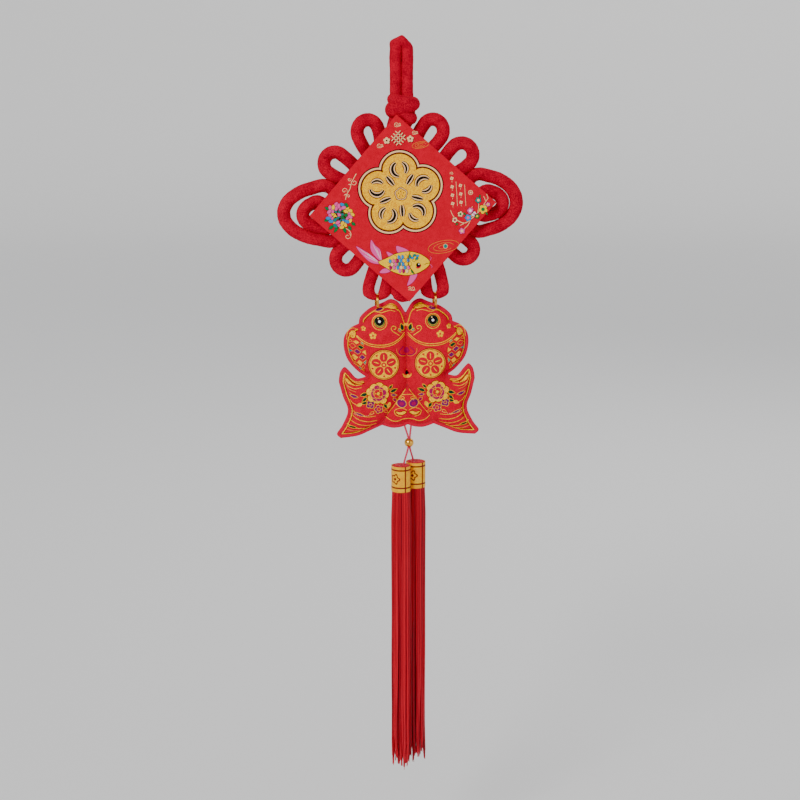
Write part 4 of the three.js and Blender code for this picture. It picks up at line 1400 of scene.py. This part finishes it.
def skirt_threads(x, y, top, seed):
    """Thread routes, and how light each one is."""
    draw = random.Random(seed)
    clumps = []
    for clump in range(CLUMPS):
        out = SKIRT_RADIUS * 0.8 * math.sqrt((clump + 0.5) / CLUMPS)
        angle = clump * GOLDEN_ANGLE
        drift = [draw.uniform(-1, 1) for _ in range(4)]
        clumps.append({"u": out * math.cos(angle), "v": out * math.sin(angle), "drift": drift})
    runs, tones = [], []
    for i in range(THREADS):
        out = SKIRT_RADIUS * math.sqrt((i + 0.5) / THREADS)
        angle = i * GOLDEN_ANGLE
        u, v = out * math.cos(angle), out * math.sin(angle)
        home = min(clumps, key=lambda clump: (clump["u"] - u) ** 2 + (clump["v"] - v) ** 2)
        a, b, c, d = home["drift"]
        loose = [draw.uniform(-1, 1) for _ in range(4)]
        off = math.hypot(home["u"] - u, home["v"] - v) / SKIRT_RADIUS * 4
        length = SKIRT_LENGTH - UNEVEN * abs(a) ** 1.5 - POINTED * min(1, off) ** 2 - 3 * draw.random()
        run = []
        for step in range(THREAD_STEPS + 1):
            t = step / THREAD_STEPS
            pull = sum(share * soft_step(t, low, high) for share, low, high in PULLS)
            wide = 1 + (SKIRT_SPREAD - 1) * soft_step(t, 0, 0.12) + SKIRT_FLARE * t
            sway = soft_step(t, 0.0, 1.0)
            px = sway * (1.7 * a * math.sin(3 * t + b) + 0.5 * loose[0] * t)
            py = sway * (1.5 * c * math.sin(2.6 * t + d) + 0.5 * loose[1] * t)
            px += wide * (u + (home["u"] - u) * pull) + 0.22 * math.sin(9 * t + 3 * loose[2]) * t
            py += wide * (v + (home["v"] - v) * pull) + 0.22 * math.sin(8 * t + 3 * loose[3]) * t
            px += 1.5 * b * soft_step(t, 0.92, 1)
            depth = HEAD_LENGTH * 0.8 + t * (length - HEAD_LENGTH * 0.8)
            run.append((Vector((x + px, y + py, top - depth)), 1 - 0.25 * soft_step(t, 0.9, 1)))
        runs.append(run)
        tones.append(0.52 + 0.34 * loose[0] + 0.26 * b)
    return runs, tones


for seed, (side, (x, y, top)) in enumerate(TASSELS.items()):
    runs, tones = skirt_threads(x, y, top, seed)
    tassel = tubes(f"tassel_{side}_threads", runs, THREAD_RADIUS, sides=4, smooth=False)
    count = len(tassel.data.vertices)
    mark(tassel, "strand", [tones[i * THREADS // count] for i in range(count)])
    dress(tassel, rayon, "thread", f"tassel_{side}")

    folds = []
    for i in range(HEAD_FOLDS):
        angle = i * math.tau / HEAD_FOLDS
        lift = FOLD_LIFT * math.sin(i * 2.4)
        folds.append([
            (Vector((*polar(x, y, out, angle), top + rise + lift * loose)), share)
            for out, rise, loose, share in FOLD
        ])
    head = tubes(f"tassel_{side}_head", folds, FOLD_RADIUS, sides=6, steps=5)
    count = len(head.data.vertices)
    mark(head, "strand", [0.6 + 0.2 * math.sin(i // TONE_RUN * 1.7) for i in range(count)])
    dress(head, rayon, "thread")
    core = start_from(
        f"tassel_{side}_core", bpy.ops.mesh.primitive_cylinder_add,
        vertices=48, radius=CORE_RADIUS * MM, depth=(HEAD_LENGTH - CORE_TOP) * MM,
    )
    bpy.ops.object.mode_set(mode="EDIT")
    round_edges(CORE_ROUND)
    bpy.ops.object.mode_set(mode="OBJECT")
    core.data.transform(Matrix.Translation(Vector((x, y, top - (HEAD_LENGTH + CORE_TOP) / 2)) * MM))
    # The core takes a dark thread tone: painted shade where it shows between the folds of the head.
    mark(core, "strand", [0.1] * len(core.data.vertices))
    dress(core, rayon, "thread")

# The bands
# A strip of gilt foil paper, embossed like brocade and printed with dark red rules, is wrapped once
# round each head. Its end laps over its start, out of sight at the back, and is glued there.
BAND_TOP = 0.8
BAND_LENGTH = 24.4
BAND_RADIUS = 9.12
BAND_THICK = 0.2
BAND_LAP = 0.09
BAND_STARTS = {"left": -222, "right": -204}
UPRIGHT_RULES = (0.07, 0.43, 0.57, 0.93, 1.07)
LEVEL_RULES = (0.172, 0.865)
LEVEL_HALF = 0.028
UPRIGHT_HALF = 0.012
MOTIF_HEIGHT = 0.52

foil, start = new_finish("gilt_foil", {"Specular IOR Level": 0.2})
strip = start.node("UVMap", {"uv_map": "strip"}, {}, "UV")
turn, up = (start.node("SeparateXYZ", {}, {0: strip}, way) for way in (0, 1))
turn = turn * (1 + BAND_LAP)
place = start.node("TexCoord", {}, {}, "Object")
rules = None
for way, lines, half_line in ((up, LEVEL_RULES, LEVEL_HALF), (turn, UPRIGHT_RULES, UPRIGHT_HALF)):
    for line in lines:
        rule = 1 - (way - line).math("ABSOLUTE").over(half_line * 0.8, half_line * 1.25)
        rules = rule if rules is None else rules.math("MAXIMUM", rule)
aside = ((turn * 2).math("FRACT") - 0.5) * (math.pi * BAND_RADIUS)
above = (up - MOTIF_HEIGHT) * BAND_LENGTH
reach = (aside * aside + above * above).math("SQRT")
lobe = (above.math("ARCTAN2", aside) * 5).math("COSINE") * 0.8 + 3.9
motif = 1 - (reach - lobe).math("ABSOLUTE").over(0.55, 0.85)
dot = 1 - reach.over(1.2, 1.5)
rules = rules.math("MAXIMUM", motif).math("MAXIMUM", dot)
emboss = start.node("TexVoronoi", {"feature": "F1"}, {"Vector": place, "Scale": 900.0}, "Distance")
crumple = noise(start, 220.0, 4.0)
gold = (crumple * 0.7 + emboss * 0.5).over(0.3, 0.85).blend(tone(244, 146, 0), tone(255, 202, 14))
rules.blend(gold, tone(120, 0, 10)).to("Base Color")
(0.25 - rules * 0.2).to("Metallic")
(crumple * 0.2 + 0.28 + rules * 0.3).to("Roughness")
bump(emboss + crumple * 1.5 - rules * 0.4, 0.5, 0.0002)

for side, (x, y, top) in TASSELS.items():
    band = start_from(
        f"band_{side}_foil", bpy.ops.mesh.primitive_grid_add,
        x_subdivisions=118, y_subdivisions=12, size=1,
    )
    band.data.uv_layers[0].name = "strip"
    for vertex in band.data.vertices:
        wound = (vertex.co.x + 0.5) * (1 + BAND_LAP)
        angle = math.radians(BAND_STARTS[side]) + wound * math.tau
        out = BAND_RADIUS + (BAND_THICK + 0.06) * soft_step(wound, 0.97, 1.0)
        out += 0.07 * math.sin(3 * angle + x) + 0.05 * math.sin(vertex.co.y * 9 + 2 * angle)
        drop = BAND_TOP + (0.5 - vertex.co.y) * BAND_LENGTH
        vertex.co = Vector((*polar(x, y, out, angle), top - drop)) * MM
    thicken(band, BAND_THICK)
    bpy.ops.object.shade_smooth_by_angle(angle=math.radians(50))
    dress(band, foil, "gilt_band", f"band_{side}")
